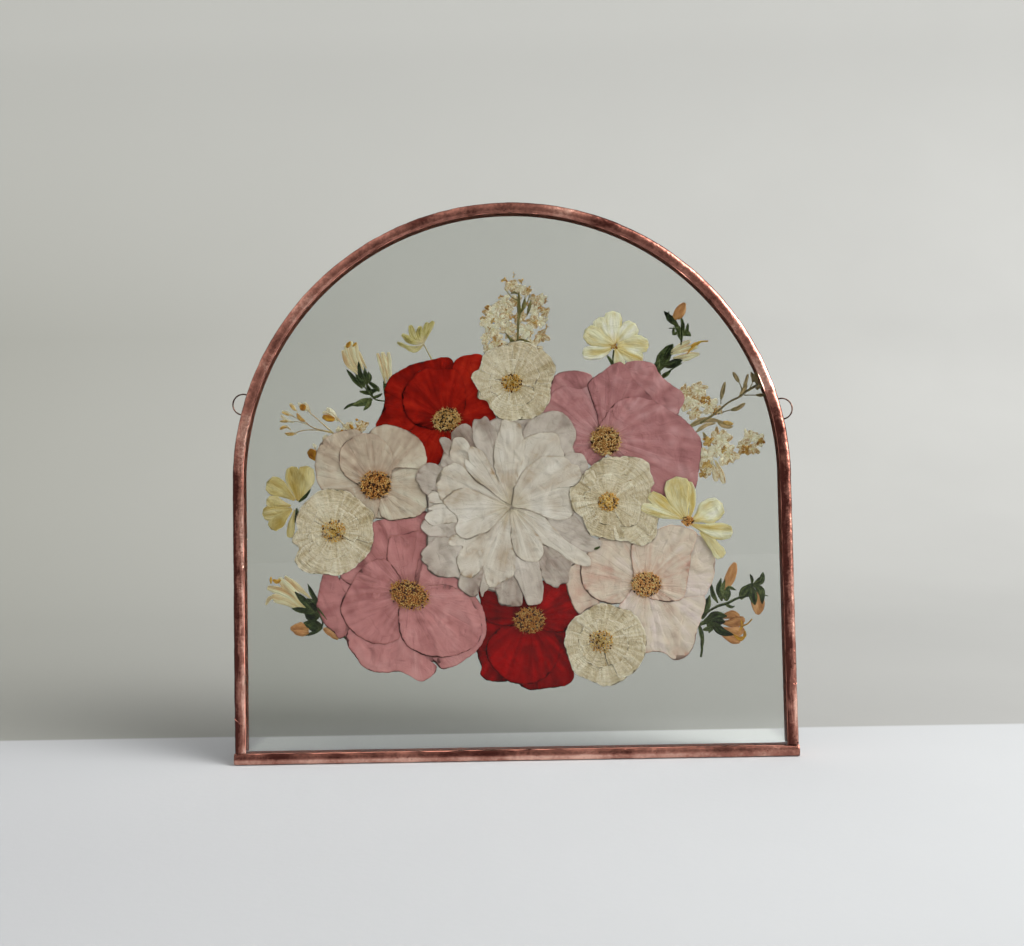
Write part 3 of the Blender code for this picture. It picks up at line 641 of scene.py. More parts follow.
LEAF = petal_material(
    "dried_leaf", "19,26,10 51,66,30 106,118,68 75,82,40 28,30,17",
    rough=0.7, vein=0.9, spots=0.9, crumple=420.0, crease_shade=0.2, lumpy=1.6)
BUD_CREAM = petal_material(
    "dried_bud_cream", "201,165,117 223,219,179 223,223,208 212,194,133 223,187,142", vein=0.6)
BUD_TAN = petal_material("dried_bud_tan", "123,75,38 192,136,83 222,174,121 155,114,61 139,78,41", vein=0.9)
GOLD = petal_material("dried_gold", "136,77,19 201,148,41 223,189,87 164,114,38 155,82,26", vein=0.9)
BLOSSOM = petal_material(
    "dried_blossom", "181,137,72 238,229,197 247,247,226 210,194,129 219,181,110",
    vein=0.8, spots=0.5, crumple=420.0, crease_shade=0.2, lumpy=1.6)
BLOSSOM_TAN = petal_material(
    "dried_blossom_tan", "148,90,29 218,177,95 232,211,151 194,152,70 159,94,33",
    vein=0.9, spots=0.5, crumple=420.0, crease_shade=0.3)
STALK = petal_material("dried_stalk", "62,56,22 114,109,58 157,148,92 98,92,44 74,65,29", vein=0.9)
PALE_YELLOW = petal_material(
    "dried_pale_yellow", "87,78,26 192,179,103 220,213,166 219,202,175 125,109,38",
    vein=0.9, spots=0.6, crease_shade=0.2)
YELLOW = petal_material(
    "dried_yellow", "209,184,106 232,230,194 246,244,247 229,201,112 234,232,179", vein=0.6)
OLD_YELLOW = petal_material(
    "dried_old_yellow", "172,147,73 208,195,139 228,218,186 188,160,84 210,194,133", vein=0.6)
TWIG = petal_material("dried_twig", "92,83,56 157,139,99 207,179,132 118,114,71 135,95,66", vein=0.9)

SPRIGS = {
    "bud_sprig_upper_left": ("dried_leaf", [
        ("stems_and_leaves", LEAF, 0.0, """
        stem 1.6 364,386 368,392 375,399 386,401 398,404  leaf 8 390,402 387,390 383,381
        leaf 4 396,394 393,384 391,373  leaf 7 372,399 362,402 352,405  leaf 3.5 357,403 349,405 343,409
        leaf 5 370,397 368,404 363,410  leaf 5 379,391 373,385 367,381  leaf 5 359,391 368,392 379,388
        leaf 4 366,383 369,390 373,397  leaf 3.5 372,397 377,396 382,393"""),
        ("buds", BUD_CREAM, 0.35, """
        petal 6 357,374 348,364 342,350  petal 6 359,373 350,360 345,345
        petal 5 366,368 360,357 353,346  petal 6.5 361,372 354,357 350,341
        petal 5 364,371 357,356 355,342  petal 5 385,383 381,366 377,353
        petal 5 391,381 389,366 388,352  petal 6 388,382 385,366 382,352"""),
        ("tips", GOLD, 0.6, """
        bud 4.5 346,347 350,341  bud 2.4 352,346 356,342"""),
        ("calyx", LEAF, 0.65, """
        leaf 5 362,388 354,379 346,369  leaf 6.5 364,387 361,380 355,374  leaf 5 368,383 369,378 368,371
        leaf 4.4 367,384 365,374 364,367  leaf 4.8 366,384 360,374 358,361"""),
    ]),
    "yellow_bud_upper_left": ("yellow_petal", [
        ("petals", PALE_YELLOW, 0.2, """
        stem 1.3 423,343 431,358 440,374  petal 6 423,343 427,332 433,321
        petal 6 423,343 424,334 427,322  petal 7 423,343 412,341 402,334
        petal 4 421,345 409,347 397,342  petal 7 423,343 419,335 420,326
        petal 6.5 423,343 414,337 410,325  petal 5 424,343 415,350 405,346"""),
    ]),
    "bud_sprig_upper_right": ("dried_leaf", [
        ("stems_and_leaves", LEAF, 0.0, """
        stem 2.4 682,324 682,336 681,345  stem 1.3 681,328 675,328 669,328
        stem 1.8 661,377 672,369 682,363  leaf 7 660,379 657,368 660,357
        leaf 13 658,371 664,357 673,344  leaf 5 661,378 665,375 671,371
        leaf 3.4 680,330 674,334 674,326  leaf 4 683,335 687,330 688,323  leaf 6 681,334 687,333 691,336
        leaf 6 681,340 679,330 674,322  leaf 4 683,336 683,326 681,316"""),
        ("buds", BUD_TAN, 0.3, """
        bud 9 674,319 679,311 685,303  bud 5 678,319 683,312 685,305"""),
        ("petals", BUD_CREAM, 0.35, """
        petal 6 670,352 680,346 690,341  petal 6 673,358 685,356 699,354
        petal 7 671,354 683,350 697,346  petal 5 674,359 682,359 692,357"""),
        ("tips", GOLD, 0.6, """
        petal 4 687,354 693,346 700,342  stem 2.4 691,347 699,342 708,341"""),
        ("calyx", LEAF, 0.7, """
        leaf 7 678,326 671,319 664,311  leaf 4 673,323 668,318 669,311  leaf 8 663,366 672,364 683,359
        leaf 6 664,360 668,352 672,345"""),
    ]),
    "bud_sprig_lower_left": ("dried_leaf", [
        ("stems", LEAF, 0.0, """
        stem 2.2 316,611 322,622 320,630  stem 2.2 317,608 327,621 336,634 352,641"""),
        ("buds", BUD_CREAM, 0.2, """
        petal 6 310,599 296,587 284,577  petal 5 300,612 286,604 273,601
        petal 4 282,601 270,598 265,605  petal 9 306,604 290,591 278,579
        petal 9 304,611 288,601 271,597  petal 9 305,608 285,594 267,588"""),
        ("brown_buds", BUD_TAN, 0.3, """
        bud 12 308,629 299,629 290,629  bud 7 308,634 299,633 293,632  bud 7.5 338,639 330,633 323,629"""),
        ("tips", GOLD, 0.6, """
        bud 4 272,580 276,582 280,580  bud 2.6 270,584 270,577"""),
        ("calyx", LEAF, 0.6, """
        leaf 11 322,627 313,626 303,623  leaf 4 322,628 313,633 305,636  leaf 13 320,616 312,606 306,599
        leaf 10 319,613 311,617 304,614  leaf 5 319,606 312,595 307,584  leaf 6 314,612 303,611 291,609
        leaf 7 314,612 304,602 294,592"""),
    ]),
    "bud_sprig_lower_right": ("dried_leaf", [
        ("stems_and_leaves", LEAF, 0.0, """
        stem 2.8 700,617 716,607 728,603 738,598 752,595  leaf 4.5 699,624 702,636 703,647
        stem 3 702,640 702,650 701,657  leaf 8 702,619 706,608 710,595  leaf 4.5 718,603 713,594 711,583
        leaf 3.5 724,603 731,607 735,606  leaf 7 711,616 712,624 709,633  leaf 5 703,630 709,628 714,622
        leaf 4.5 699,625 706,622 712,621  stem 1.4 755,590 762,594 768,596
        leaf 3.4 752,584 752,579 750,574"""),
        ("buds", BUD_TAN, 0.2, """
        bud 11 724,590 730,578 735,563  bud 14 756,592 758,604 758,614  petal 9 720,618 730,615 739,617
        petal 9 720,633 731,638 740,641  petal 10 720,622 732,623 744,619
        petal 10 720,628 733,632 744,630"""),
        ("tips", GOLD, 0.5, """
        petal 3.5 737,634 742,626 741,619  petal 3 738,637 744,637 745,631
        stem 1.8 741,626 747,624 752,619  petal 4 733,634 740,639 744,637"""),
        ("calyx", LEAF, 0.6, """
        leaf 6 722,601 719,590 721,578  leaf 5 723,599 723,588 725,579  leaf 8 726,601 727,592 726,587
        leaf 4.5 727,600 728,588 736,590  leaf 9 740,599 746,590 755,583  leaf 7 754,584 761,580 763,572
        leaf 7 753,584 761,591 762,604  leaf 8 751,585 753,596 755,605  leaf 9 704,622 716,616 727,616
        leaf 10 707,626 716,621 725,622  leaf 8 711,620 721,631 734,635"""),
    ]),
    "white_spray_left": ("dried_blossom", [
        ("stems", BLOSSOM, 0.0, """
        stem 1.1 333,433 318,430 303,430 290,434  stem 1.3 332,432 314,428 305,422 297,413
        stem 1.4 333,433 318,420 307,410 302,402  stem 1.5 346,428 337,418 328,409
        stem 0.9 306,424 296,421 284,422  stem 0.9 300,420 292,416 284,414
        petal 3.4 296,434 291,433 286,435  petal 3 290,430 285,426 279,429
        petal 3.2 293,422 286,420 280,415  petal 3.2 294,417 287,413 281,411
        petal 3.4 296,411 292,406 289,403  petal 4 306,411 302,406 297,403
        petal 3.6 310,414 307,408 304,402  petal 4.2 336,421 329,413 322,412
        petal 4.2 338,421 332,412 326,408  petal 3 315,450 314,446 312,444
        petal 4.4 322,440 324,437 327,436  puff 348,427 8 8 0.4  puff 361,426 8 8 1.3
        puff 338,430 5 5 2"""),
        ("buds", BLOSSOM_TAN, 0.45, """
        bud 3.2 293,434 288,434 284,433  bud 2.6 286,427 282,427 279,429
        bud 2.6 287,421 283,421 279,421  bud 2.6 288,415 284,413 281,412  bud 3 294,410 291,406 289,404
        bud 3.6 304,421 299,418 296,413"""),
        ("hearts", GOLD, 0.6, """
        bud 6.5 299,408 302,407 305,406  bud 7 322,416 328,418 334,419  bud 9 308,450 312,454 315,460
        bud 3 349,424 351,427 353,430  bud 2.6 355,419 358,420  bud 2.4 340,431 343,430"""),
    ]),
    "stock_spray_right": ("dried_blossom", [
        ("stems", TWIG, 0.0, """
        stem 2.2 700,423 714,414 729,402 739,397 748,390 758,384  stem 1.2 739,397 743,388 747,380
        stem 1.1 718,414 726,411 734,409  stem 1.1 721,404 721,398 722,392
        stem 1.1 742,390 740,384 737,379  stem 1.1 744,395 752,395 759,395
        stem 1.3 748,391 756,387 765,388  stem 1 750,388 753,381 753,375
        bud 4.6 721,399 723,390 725,382  bud 4.2 731,410 738,408 745,403
        bud 4.8 740,397 743,391 747,385  bud 3.8 744,388 746,381 748,374
        bud 4.2 739,382 736,377 733,372  bud 3.8 756,395 761,395 766,395
        bud 4.2 753,382 753,377 751,372  bud 5 757,384 756,377 758,370  bud 5 756,389 760,386 765,387
        bud 4.2 760,385 762,379 763,373  leaf 6 688,427 704,420 722,421  leaf 4 696,432 706,425 716,423
        leaf 6 717,421 724,425 733,427  leaf 4 703,432 707,440 712,449"""),
        ("blossoms", BLOSSOM, 0.2, """
        puff 690,402 11 9 0.2  puff 686,392 9 8 1.9  puff 698,391 12 10 2.2  puff 710,405 11 9 0.9
        puff 695,413 9 8 2.5  puff 718,409 6 6 0.6  puff 706,457 12 9 1.1  puff 728,455 12 10 0.1
        puff 721,439 13 11 1.7  puff 716,450 10 8 0.5  puff 706,471 9 8 1.3  puff 743,446 9 8 2.1
        puff 758,439 9 8 0.8  puff 750,436 9 7 1.5  puff 752,449 8 7 0.3
        petal 6 712,462 715,472 716,481  petal 6 715,460 720,471 724,483"""),
        ("gold_edges", BLOSSOM_TAN, 0.6, """
        puff 706,400 7 6 0.7  puff 716,411 5 5 1.4  puff 708,441 7 5 1.2  puff 707,464 6 6 0.4
        puff 703,474 5 5 2.6  puff 745,449 6 6 1  puff 760,441 5 5 0.2  puff 724,449 5 4 2.2
        bud 4 723,422 728,423 733,424"""),
    ]),
    "white_larkspur_spike": ("dried_blossom", [
        ("stems", STALK, 0.0, """
        stem 2.6 519,292 519,305 518,330 517,368  stem 1.4 518,300 511,296 505,288
        stem 1.4 519,315 526,305 530,294  stem 1.4 518,345 511,338 504,331"""),
        ("blossoms", BLOSSOM, 0.15, """
        puff 519,362 14 7 0.3  puff 497,357 11 7 1.2  puff 534,352 12 8 2.1  puff 512,285 9 8 0.5
        puff 526,291 7 6 1.5  puff 541,299 8 7 2.2  puff 504,302 10 8 0.2  puff 516,300 8 6 1
        puff 491,313 11 9 1.1  puff 534,310 9 7 1.9  puff 507,313 9 7 2.9  puff 520,316 9 7 2.4
        puff 493,329 10 7 0.7  puff 541,321 8 7 1.4  puff 541,336 9 7 0.2  puff 508,328 11 8 1.6
        puff 526,330 11 8 0.8  puff 497,343 11 7 0.1  puff 516,341 10 6 2  puff 530,345 10 6 1.3
        puff 486,322 8 6 0.6  puff 500,319 10 6 1.8  puff 533,321 9 6 2.6  puff 545,311 7 5 0.9
        puff 486,337 8 6 2.2  puff 520,288 7 5 1.4  puff 497,306 8 6 0.3  puff 535,299 8 5 1
        puff 489,349 9 6 1.7"""),
        ("brown_edges", BLOSSOM_TAN, 0.6, """
        puff 504,279 4 3 0.4  puff 521,280 4 3 1.1  puff 514,274 3.4 2 1.8  puff 529,288 4 3 2.5
        puff 482,317 3.4 2 0.3  puff 487,307 4 3 0.9  puff 489,328 3.4 2 1.5  puff 546,300 3.4 3 2.1
        puff 501,345 4 2 2.7  puff 540,307 3.4 3 0.6  puff 538,349 4 3 1.2  puff 531,333 3.4 2 1.8
        puff 493,320 4 3 2.4  puff 512,317 3.4 2 0.1  puff 535,322 3.4 3 0.7  puff 547,326 3.4 3 2
        puff 527,303 3.4 2 1  puff 500,296 3.4 2 0"""),
        ("green_parts", STALK, 0.75, """
        leaf 3.6 519,320 519,307 518,294  leaf 4 521,312 524,305 525,297  leaf 3 527,315 529,308 531,299
        leaf 2.6 515,350 511,340 505,332  leaf 2.6 516,340 524,340 532,343
        leaf 2.4 518,294 514,292 510,294"""),
    ]),
    "pale_flower_top": ("cream_petal", [
        ("stems", LEAF, 0.0, """
        stem 1.9 614,350 613,360 614,372  leaf 3.2 607,355 611,361 613,368"""),
        ("petals", YELLOW, 0.1, """
        fan 16 613,347 600,352 584,353  fan 18 614,342 604,330 600,319  fan 20 615,344 613,329 613,313
        fan 15 615,348 618,358 619,370  fan 21 614,345 600,339 587,331  fan 19 616,343 625,334 634,325
        fan 17 617,348 629,355 641,360  fan 19 617,346 632,344 647,345"""),
        ("heart", BLOSSOM_TAN, 0.8, """
        puff 614,346 4 6 0.4  stem 0.9 609,344 614,345 617,341"""),
    ]),
    "yellow_flower_left": ("yellow_petal", [
        ("petals", OLD_YELLOW, 0.0, """
        fan 8 294,509 291,522 289,537  fan 14 290,506 277,504 267,500  fan 15 291,509 277,512 263,514
        fan 17 291,510 279,518 271,528  fan 20 294,500 281,490 268,483  fan 17 297,501 294,485 291,468
        fan 19 299,501 303,485 306,468"""),
        ("calyx", LEAF, 0.7, """
        leaf 3.6 298,502 305,496 310,489  leaf 3.6 296,508 296,516 294,523"""),
    ]),
}
for node, (slot, groups) in SPRIGS.items():
    back, front = box_levels(node)
    for number, (part, material, share, text) in enumerate(groups):
        start = back + share * (front - back)
        end = back + min(1.0, share + 0.35) * (front - back)
        skins = blade_group(blades_of(text), start, end, 3.1 * number + len(node))
        make_piece(f"{node}_{part}", skins, material, slot, node)

# ---------------------------------------------------------------- poppies
# Six large poppies taken apart and pressed, each put together again from single petals with its head
# of stamens on top. A petal is a thin sheet, pleated from the heart outwards and crimped at its rim.

SHEET = 0.00006
ROLL = 0.00012
ROLL_WIDTH = 0.0009
# The lip is a painted shadow: a thin dark edge that juts out on the side of a petal away from the light.
SHADOW_LIP = 0.00042
SHADOW_LIP_RAISED = 0.00002
RAGGED = 0.00042
CRIMP_FADE = 0.0018
CRIMP_STEP = 0.0016
GATHER_STEP = 0.013
DARK_FADE = 0.0014
HEART_GRIP = 0.006
FULL_REACH = 0.03
SHADED_SIDE = np.array([-0.83, -0.55])
# Levels and outlines of the laid petals, for the painted shadow under their rims.
LAID = []


def petal_skin(outline, heart, level, seed, rings=22, pleat=0.00007, lump=0.00006, crimp=0.00009,
               dome=0.0, fine=13.0, lip=1.0):
    """A pressed petal.

    P(u, v) = pole + v * (outline(u) - pole), level + relief(P), where the relief is pleats that run
    out from the heart, soft lumps, and a crimp that grows towards the rim. Its very rim
    rolls over towards the back. The back is the same surface one sheet further in, with fewer rings;
    on the side away from the light its rim juts out past the petal as a thin lip of painted shadow.
    """
    pole = outline.mean(axis=0)
    out = outline - pole
    ruffle = swell(outline[:, 0] * 420, outline[:, 1] * 420, seed + 5) * 0.6
    ruffle = ruffle + swell(outline[:, 0] * 1100, outline[:, 1] * 1100, seed + 6) * 0.4
    outline = outline + RAGGED * ruffle[:, None] * out / np.linalg.norm(out, axis=1)[:, None]
    out = outline - pole
    width = np.linalg.norm(out, axis=1)
    run = np.cumsum(np.linalg.norm(outline - np.roll(outline, 1, axis=0), axis=1))

    def surface(shares):
        """The sheet at these shares of the way from the pole to the rim."""
        share = shares[:, None, None]
        flat = pole + share * out
        away = flat - heart
        reach = np.hypot(away[..., 0], away[..., 1])
        angle_x, angle_z = away[..., 0] / (reach + 1e-6), away[..., 1] / (reach + 1e-6)
        bend = reach * 70
        wide = swell(angle_x * 0.42 * fine + bend * 0.3, angle_z * 0.42 * fine, seed)
        thin = swell(angle_x * fine, angle_z * fine + bend, seed + 1)
        lumps = swell(flat[..., 0] * 170, flat[..., 1] * 170, seed + 3)
        small = swell(flat[..., 0] * 430, flat[..., 1] * 430, seed + 2)
        near_rim = (1 - shares[:, None]) * width
        rim = np.exp(-near_rim / CRIMP_FADE)
        grip = np.minimum(1, reach / HEART_GRIP)
        crimped = swell(run / CRIMP_STEP, run * 0 + seed, seed + 4)[None, :]
        relief = pleat * grip * (0.8 * wide + 0.8 * thin) + lump * (0.8 * lumps + 0.35 * small)
        gathered = np.clip(0.25 + 1.5 * swell(run / GATHER_STEP, run * 0 + seed, seed + 7), 0, 1)[None, :]
        relief = relief + crimp * rim * (0.7 + 1.6 * gathered * crimped) + dome * (1 - shares[:, None] ** 2)
        relief = relief - ROLL * (1 - np.clip(near_rim / ROLL_WIDTH, 0, 1)) ** 2
        rolled = 0.6 * gathered * np.clip(crimped, 0, 1) * np.exp(-near_rim / DARK_FADE)
        worn = near_rim / CRIMP_STEP + 0.25 * gathered * crimped * rim
        # The fold value follows the relief: painted shade in its low places and lighter on its ridges; it is
        # also darker at the gathered crimps of the rim.
        facts = {
            "fold": 0.5 + 0.1 * wide + 0.14 * thin + 0.1 * lumps + 0.06 * small - rolled,
            "edge": np.clip(worn, 0, 1) * np.ones_like(reach),
            "reach": np.clip(reach / FULL_REACH, 0, 1),
        }
        ahead = angle_x * facing[0] + angle_z * facing[1]
        turn = np.arctan2(angle_z * facing[0] - angle_x * facing[1], ahead)
        facts["veins"] = np.stack([turn, reach * 30], axis=-1)
        return flat, level - relief, facts

    LAID.append((level, outline))
    mean_way = pole - heart
    size = np.hypot(*mean_way)
    facing = mean_way / size if size > 1e-6 else np.array([1.0, 0.0])
    front = 1 - (1 - np.linspace(0, 1, rings + 1)) ** 1.5
    back = np.array([1.0, 0.8, 0.55, 0.3, 0.0])
    sheets = []
    for shares, offset in ((front, -SHEET / 2), (back, SHEET / 2)):
        flat, y, facts = surface(shares)
        sheets.append((at_depth(flat, y + offset), facts))
    (top, top_facts), (under, under_facts) = sheets
    # Painted shadow: on the side away from the light the back sheet's rim juts out past the petal as a thin
    # lip, and its under value has it drawn dark.
    away = out / width[:, None]
    shaded = 0.3 + 0.8 * (away @ SHADED_SIDE) + 0.5 * swell(run / 0.004, run * 0 + seed, seed + 9)
    lip = lip * SHADOW_LIP * np.clip(shaded, 0, 1)
    under[0, :, [0, 2]] += (lip[:, None] * away).T
    under[0, :, 1] = level + SHADOW_LIP_RAISED
    under_facts["under"] = np.zeros(under.shape[:2])
    under_facts["under"][0] = 1.0
    top_facts["under"] = np.zeros(top.shape[:2])
    skin = closed_skin(np.concatenate([top[1:], under[:-1]]), top[0].mean(axis=0), under[-1].mean(axis=0))
    for field in ("fold", "edge", "reach", "veins", "under"):
        a, b = top_facts[field], under_facts[field]
        ring_values = np.concatenate([a[1:], b[:-1]])
        ring_values = ring_values.reshape(-1, *ring_values.shape[2:])
        skin[field] = np.concatenate([[a[0].mean(axis=0)], ring_values, [b[-1].mean(axis=0)]])
    return skin


def rim_of(node):
    """The outline of a node of the frame as (x, z): its flat back's corners, in order round its middle."""
    mesh = frame["nodes"][node].data
    corners = np.zeros(3 * len(mesh.vertices), np.float32)
    mesh.vertices.foreach_get("co", corners)
    corners = corners.reshape(-1, 3).astype(float)
    back = corners[corners[:, 1] > corners[:, 1].max() - 0.00002][:, [0, 2]]
    back = np.unique(back.round(6), axis=0)
    away = back - back.mean(axis=0)
    return back[np.argsort(np.arctan2(away[:, 1], away[:, 0]))]


def middle_level(node):
    """Half way through the room that a node of the frame takes between the panes."""
    low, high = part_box(node)
    return (low.y + high.y) / 2


POPPY_FINISH = {
    "red_poppy_upper": petal_material(
        "red_petal_upper", "72,4,2 150,20,6 192,44,22 88,8,4 112,14,6", gloss=0.06, lumpy=0.7),
    "red_poppy_lower": petal_material("red_petal_lower", "45,0,0 127,0,0 181,0,0 57,0,0 86,0,0", gloss=0.06),
    "pink_poppy_upper": petal_material(
        "pink_petal_upper", "136,82,84 184,126,127 214,168,168 148,90,88 158,94,96", lumpy=0.7),
    "pink_poppy_lower": petal_material(
        "pink_petal_lower", "154,92,92 194,131,130 214,158,156 158,90,84 166,98,96", lumpy=0.7),
    "blush_poppy_lower": petal_material(
        "blush_petal_lower", "203,159,142 221,207,189 235,219,222 221,163,131 223,169,150"),
    "blush_poppy_upper": petal_material(
        "blush_petal_upper", "160,134,116 202,185,165 228,227,209 184,145,114 192,157,137"),
}
POPPY_HEARTS = {
    "red_poppy_upper": (446, 420),
    "red_poppy_lower": (529.5, 620),
    "pink_poppy_upper": (605.5, 441),
    "pink_poppy_lower": (409.5, 595),
    "blush_poppy_lower": (646, 584),
    "blush_poppy_upper": (375.5, 485),
}
PETAL_STEP = 0.0007
HEART_BLUR = 0.010
BED_GAP = 0.00012

POPPY_BEDS = {
    "pink_poppy_lower": """
        336,588 346,572 372,560 400,545 405,530 418,512 432,520 436,575 462,600 470,630 452,650 436,661
        420,664 390,666 362,650 340,632""",
    "red_poppy_lower": """
        481,592 488,583 515,590 545,580 566,586 566,620 556,660 530,676 498,668 486,630""",
    "blush_poppy_upper": """
        350,452 372,440 392,446 408,458 412,480 405,505 388,518 366,515 345,500 335,475""",
}


def outline_of(text, count):
    """A closed outline on the glass, walked in even steps through the points of a text."""
    return on_glass(even_walk(points_of(text), count))


def poppy_piece(name, flower, skin, node):
    """One petal of a poppy, in the colours of its flower."""
    make_piece(name, [skin], POPPY_FINISH[flower], flower.split("_")[0] + "_petal", node)


lowest = {}
for flower, drawn_heart in POPPY_HEARTS.items():
    heart = on_glass(drawn_heart)
    petals = sorted(node for node in frame["nodes"] if node.startswith(flower) and node.endswith("_petal"))
    for number, node in enumerate(petals):
        seed = 11.0 * number + drawn_heart[0]
        outline = rim_of(node)
        nearness = np.exp(-((np.linalg.norm(outline - heart, axis=1) / HEART_BLUR) ** 2))
        outline = outline + 0.22 * nearness[:, None] * (outline - outline.mean(axis=0))
        length = np.linalg.norm(outline - np.roll(outline, 1, axis=0), axis=1).sum()
        spokes = int(np.clip(length / PETAL_STEP, 96, 220))
        skin = petal_skin(even_walk(outline, spokes), heart, middle_level(node), seed)
        skin["tone"] = 0.5 + 0.09 * sin(seed)
        poppy_piece(node + "_pressed", flower, skin, node)
    lowest[flower] = max(petals, key=middle_level)
for flower, text in POPPY_BEDS.items():
    level = middle_level(lowest[flower]) + BED_GAP
    bed = petal_skin(outline_of(text, 120), on_glass(POPPY_HEARTS[flower]), level, 4.4, rings=12,
                     pleat=0.00003, lump=0.00003, crimp=0.0)
    poppy_piece(flower + "_under_petals", flower, bed, lowest[flower])


def ball(spokes=6, rings=3):
    """A unit ball as one closed skin, from its points on even rings."""
    down = np.linspace(0, pi, rings + 2)[1:-1, None]
    turn = np.linspace(0, 2 * pi, spokes, endpoint=False)[None, :]
    flat = np.sin(down)
    points = np.stack([flat * np.cos(turn), flat * np.sin(turn), np.cos(down) + 0 * turn], axis=-1)
    return closed_skin(points, np.array([0, 0, 1.0]), np.array([0, 0, -1.0]))


def grains(centres, lengths, widths, ways, tones):
    """Many small drawn-out balls as one skin: each is the unit ball, stretched and laid along its way."""
    form = ball()
    count, size = len(centres), len(form["points"])
    along = np.stack([np.cos(ways), 0 * ways, np.sin(ways)], axis=1) * lengths[:, None]
    aside = np.stack([-np.sin(ways), 0 * ways, np.cos(ways)], axis=1) * widths[:, None]
    deep = np.stack([0 * ways, 0 * ways + 1, 0 * ways], axis=1) * widths[:, None]
    frames = np.stack([along, deep, aside], axis=1)
    points = centres[:, None] + np.einsum("pk,nkx->npx", form["points"], frames)
    steps = size * np.arange(count)[:, None, None]
    skin = {"points": points.reshape(-1, 3)}
    skin["quads"] = (form["quads"][None] + steps).reshape(-1, 4)
    skin["tris"] = (form["tris"][None] + steps).reshape(-1, 3)
    skin["tone"] = np.repeat(tones, size)
    return skin


def stamen_material(name, colours):
    """Dry anthers and filaments: each grain has its own tone, and noise breaks it up."""
    dark, brown, gold, pale = paints(colours)
    made, tree, shader, place = new_material(name)
    speck = noise(tree, place, 2600.0, 3.0)
    shade = swayed(tree, carried(tree, "tone"), speck, 0.5)
    shade = swayed(tree, shade, noise(tree, place, 420.0, 2.0), 0.5)
    fill(tree, shader, {
        "Base Color": graded(tree, shade, (0.1, dark), (0.4, brown), (0.68, gold), (0.95, pale)),
        "Roughness": sums(tree, "MULTIPLY_ADD", speck, 0.25, 0.62),
        "Specular IOR Level": 0.3,
        "Normal": bumps(tree, speck, 0.6, 0.0001),
    })
    return made


PAD_RISE = 0.00018
PAD_LUMPS = 0.00008
PAD_BACK = 0.00012
ANTHERS_RISE = 0.0002
ANTHERS_SPREAD = 0.00022
THREADS_SPREAD = 0.00016
THREAD_WIDTH = 0.17


def stamen_head(middle, across, up, degrees, level, seed, count=230, threads=130):
    """A dense oval head: a lumpy pad, anthers spread over it, and fine threads round its edge."""
    heart = on_glass(middle)
    turn = radians(degrees) + DRAWING_TURN
    radii = np.array([across, up]) * DRAWING_UNIT
    spin = np.array([[cos(turn), sin(turn)], [-sin(turn), cos(turn)]])

    def laid(radius, angle):
        return heart + (np.stack([radius * np.cos(angle), radius * np.sin(angle)], axis=-1) * radii) @ spin

    def chance(number, salt):
        wild = np.sin(number * 12.9898 + salt * 78.233 + seed) * 43758.5453
        return wild - np.floor(wild)

    share = np.linspace(1.0, 0.12, 8)[:, None]
    angle = np.linspace(0, 2 * pi, 40, endpoint=False)[None, :]
    ragged = 0.84 + 0.1 * swell(angle * 2.2, share * 3, seed)
    flat = laid(share * ragged, angle + 0 * share)
    rise = PAD_RISE * (1 - share**2) + PAD_LUMPS * swell(flat[..., 0] * 900, flat[..., 1] * 900, seed)
    top = at_depth(flat, level - rise)
    low = top[:1].copy()
    low[..., 1] = level + PAD_BACK
    pad = closed_skin(np.concatenate([low, top]), low[0].mean(axis=0), top[-1].mean(axis=0))
    pad["tone"] = 0.34
    number = np.arange(count)
    radius = np.sqrt((number + 0.5) / count) * (0.92 + 0.12 * chance(number, 1))
    spot = laid(radius, number * GOLDEN_ANGLE)
    depth = level - ANTHERS_RISE * (1 - radius**2) - ANTHERS_SPREAD * chance(number, 2)
    centres = at_depth(spot, depth)
    lengths = DRAWING_UNIT * (0.75 + 0.8 * chance(number, 3))
    widths = DRAWING_UNIT * (0.5 + 0.35 * chance(number, 4))
    dotted = np.where(chance(number, 6) < 0.2, -0.1, 0.45 + 0.5 * chance(number, 6))
    anthers = grains(centres, lengths, widths, pi * chance(number, 5), dotted)
    number = np.arange(threads)
    angle = number * GOLDEN_ANGLE + 0.3
    radius = 0.62 + 0.42 * chance(number, 7)
    spot = laid(radius, angle)
    away = spot - heart
    ways = np.arctan2(away[:, 1], away[:, 0]) + 0.5 * (chance(number, 8) - 0.5)
    centres = at_depth(spot, level - THREADS_SPREAD * chance(number, 9))
    lengths = DRAWING_UNIT * (1.6 + 1.6 * chance(number, 10))
    widths = np.full(threads, THREAD_WIDTH * DRAWING_UNIT)
    fine = grains(centres, lengths, widths, ways, 0.45 + 0.5 * chance(number, 11))
    return [pad, anthers, fine]


STAMEN_HEADS = {
    "red_poppy_upper": (((446.5, 419.5), 14, 11.5, 10),
        "olive_stamens", "40,25,7 123,84,34 195,145,76 215,187,126"),
    "red_poppy_lower": (((529.5, 620), 15.5, 13, 0),
        "gold_stamens", "47,16,6 120,64,22 183,116,47 194,156,88"),
    "pink_poppy_upper": (((605.5, 441), 15.5, 15, 0),
        "brown_stamens", "60,34,16 138,95,49 201,146,81 220,197,134"),
    "pink_poppy_lower": (((409.5, 595), 20.5, 14.5, -24),
        "tawny_stamens", "58,27,7 137,81,32 198,133,59 203,173,99"),
    "blush_poppy_lower": (((646, 584), 15, 12.5, 0),
        "amber_stamens", "68,33,15 152,96,44 214,151,82 216,196,130"),
    "blush_poppy_upper": (((375.5, 485), 16, 14.5, 0),
        "speckled_stamens", "43,23,9 127,75,33 201,135,66 225,188,114"),
}
STAMENS = {}
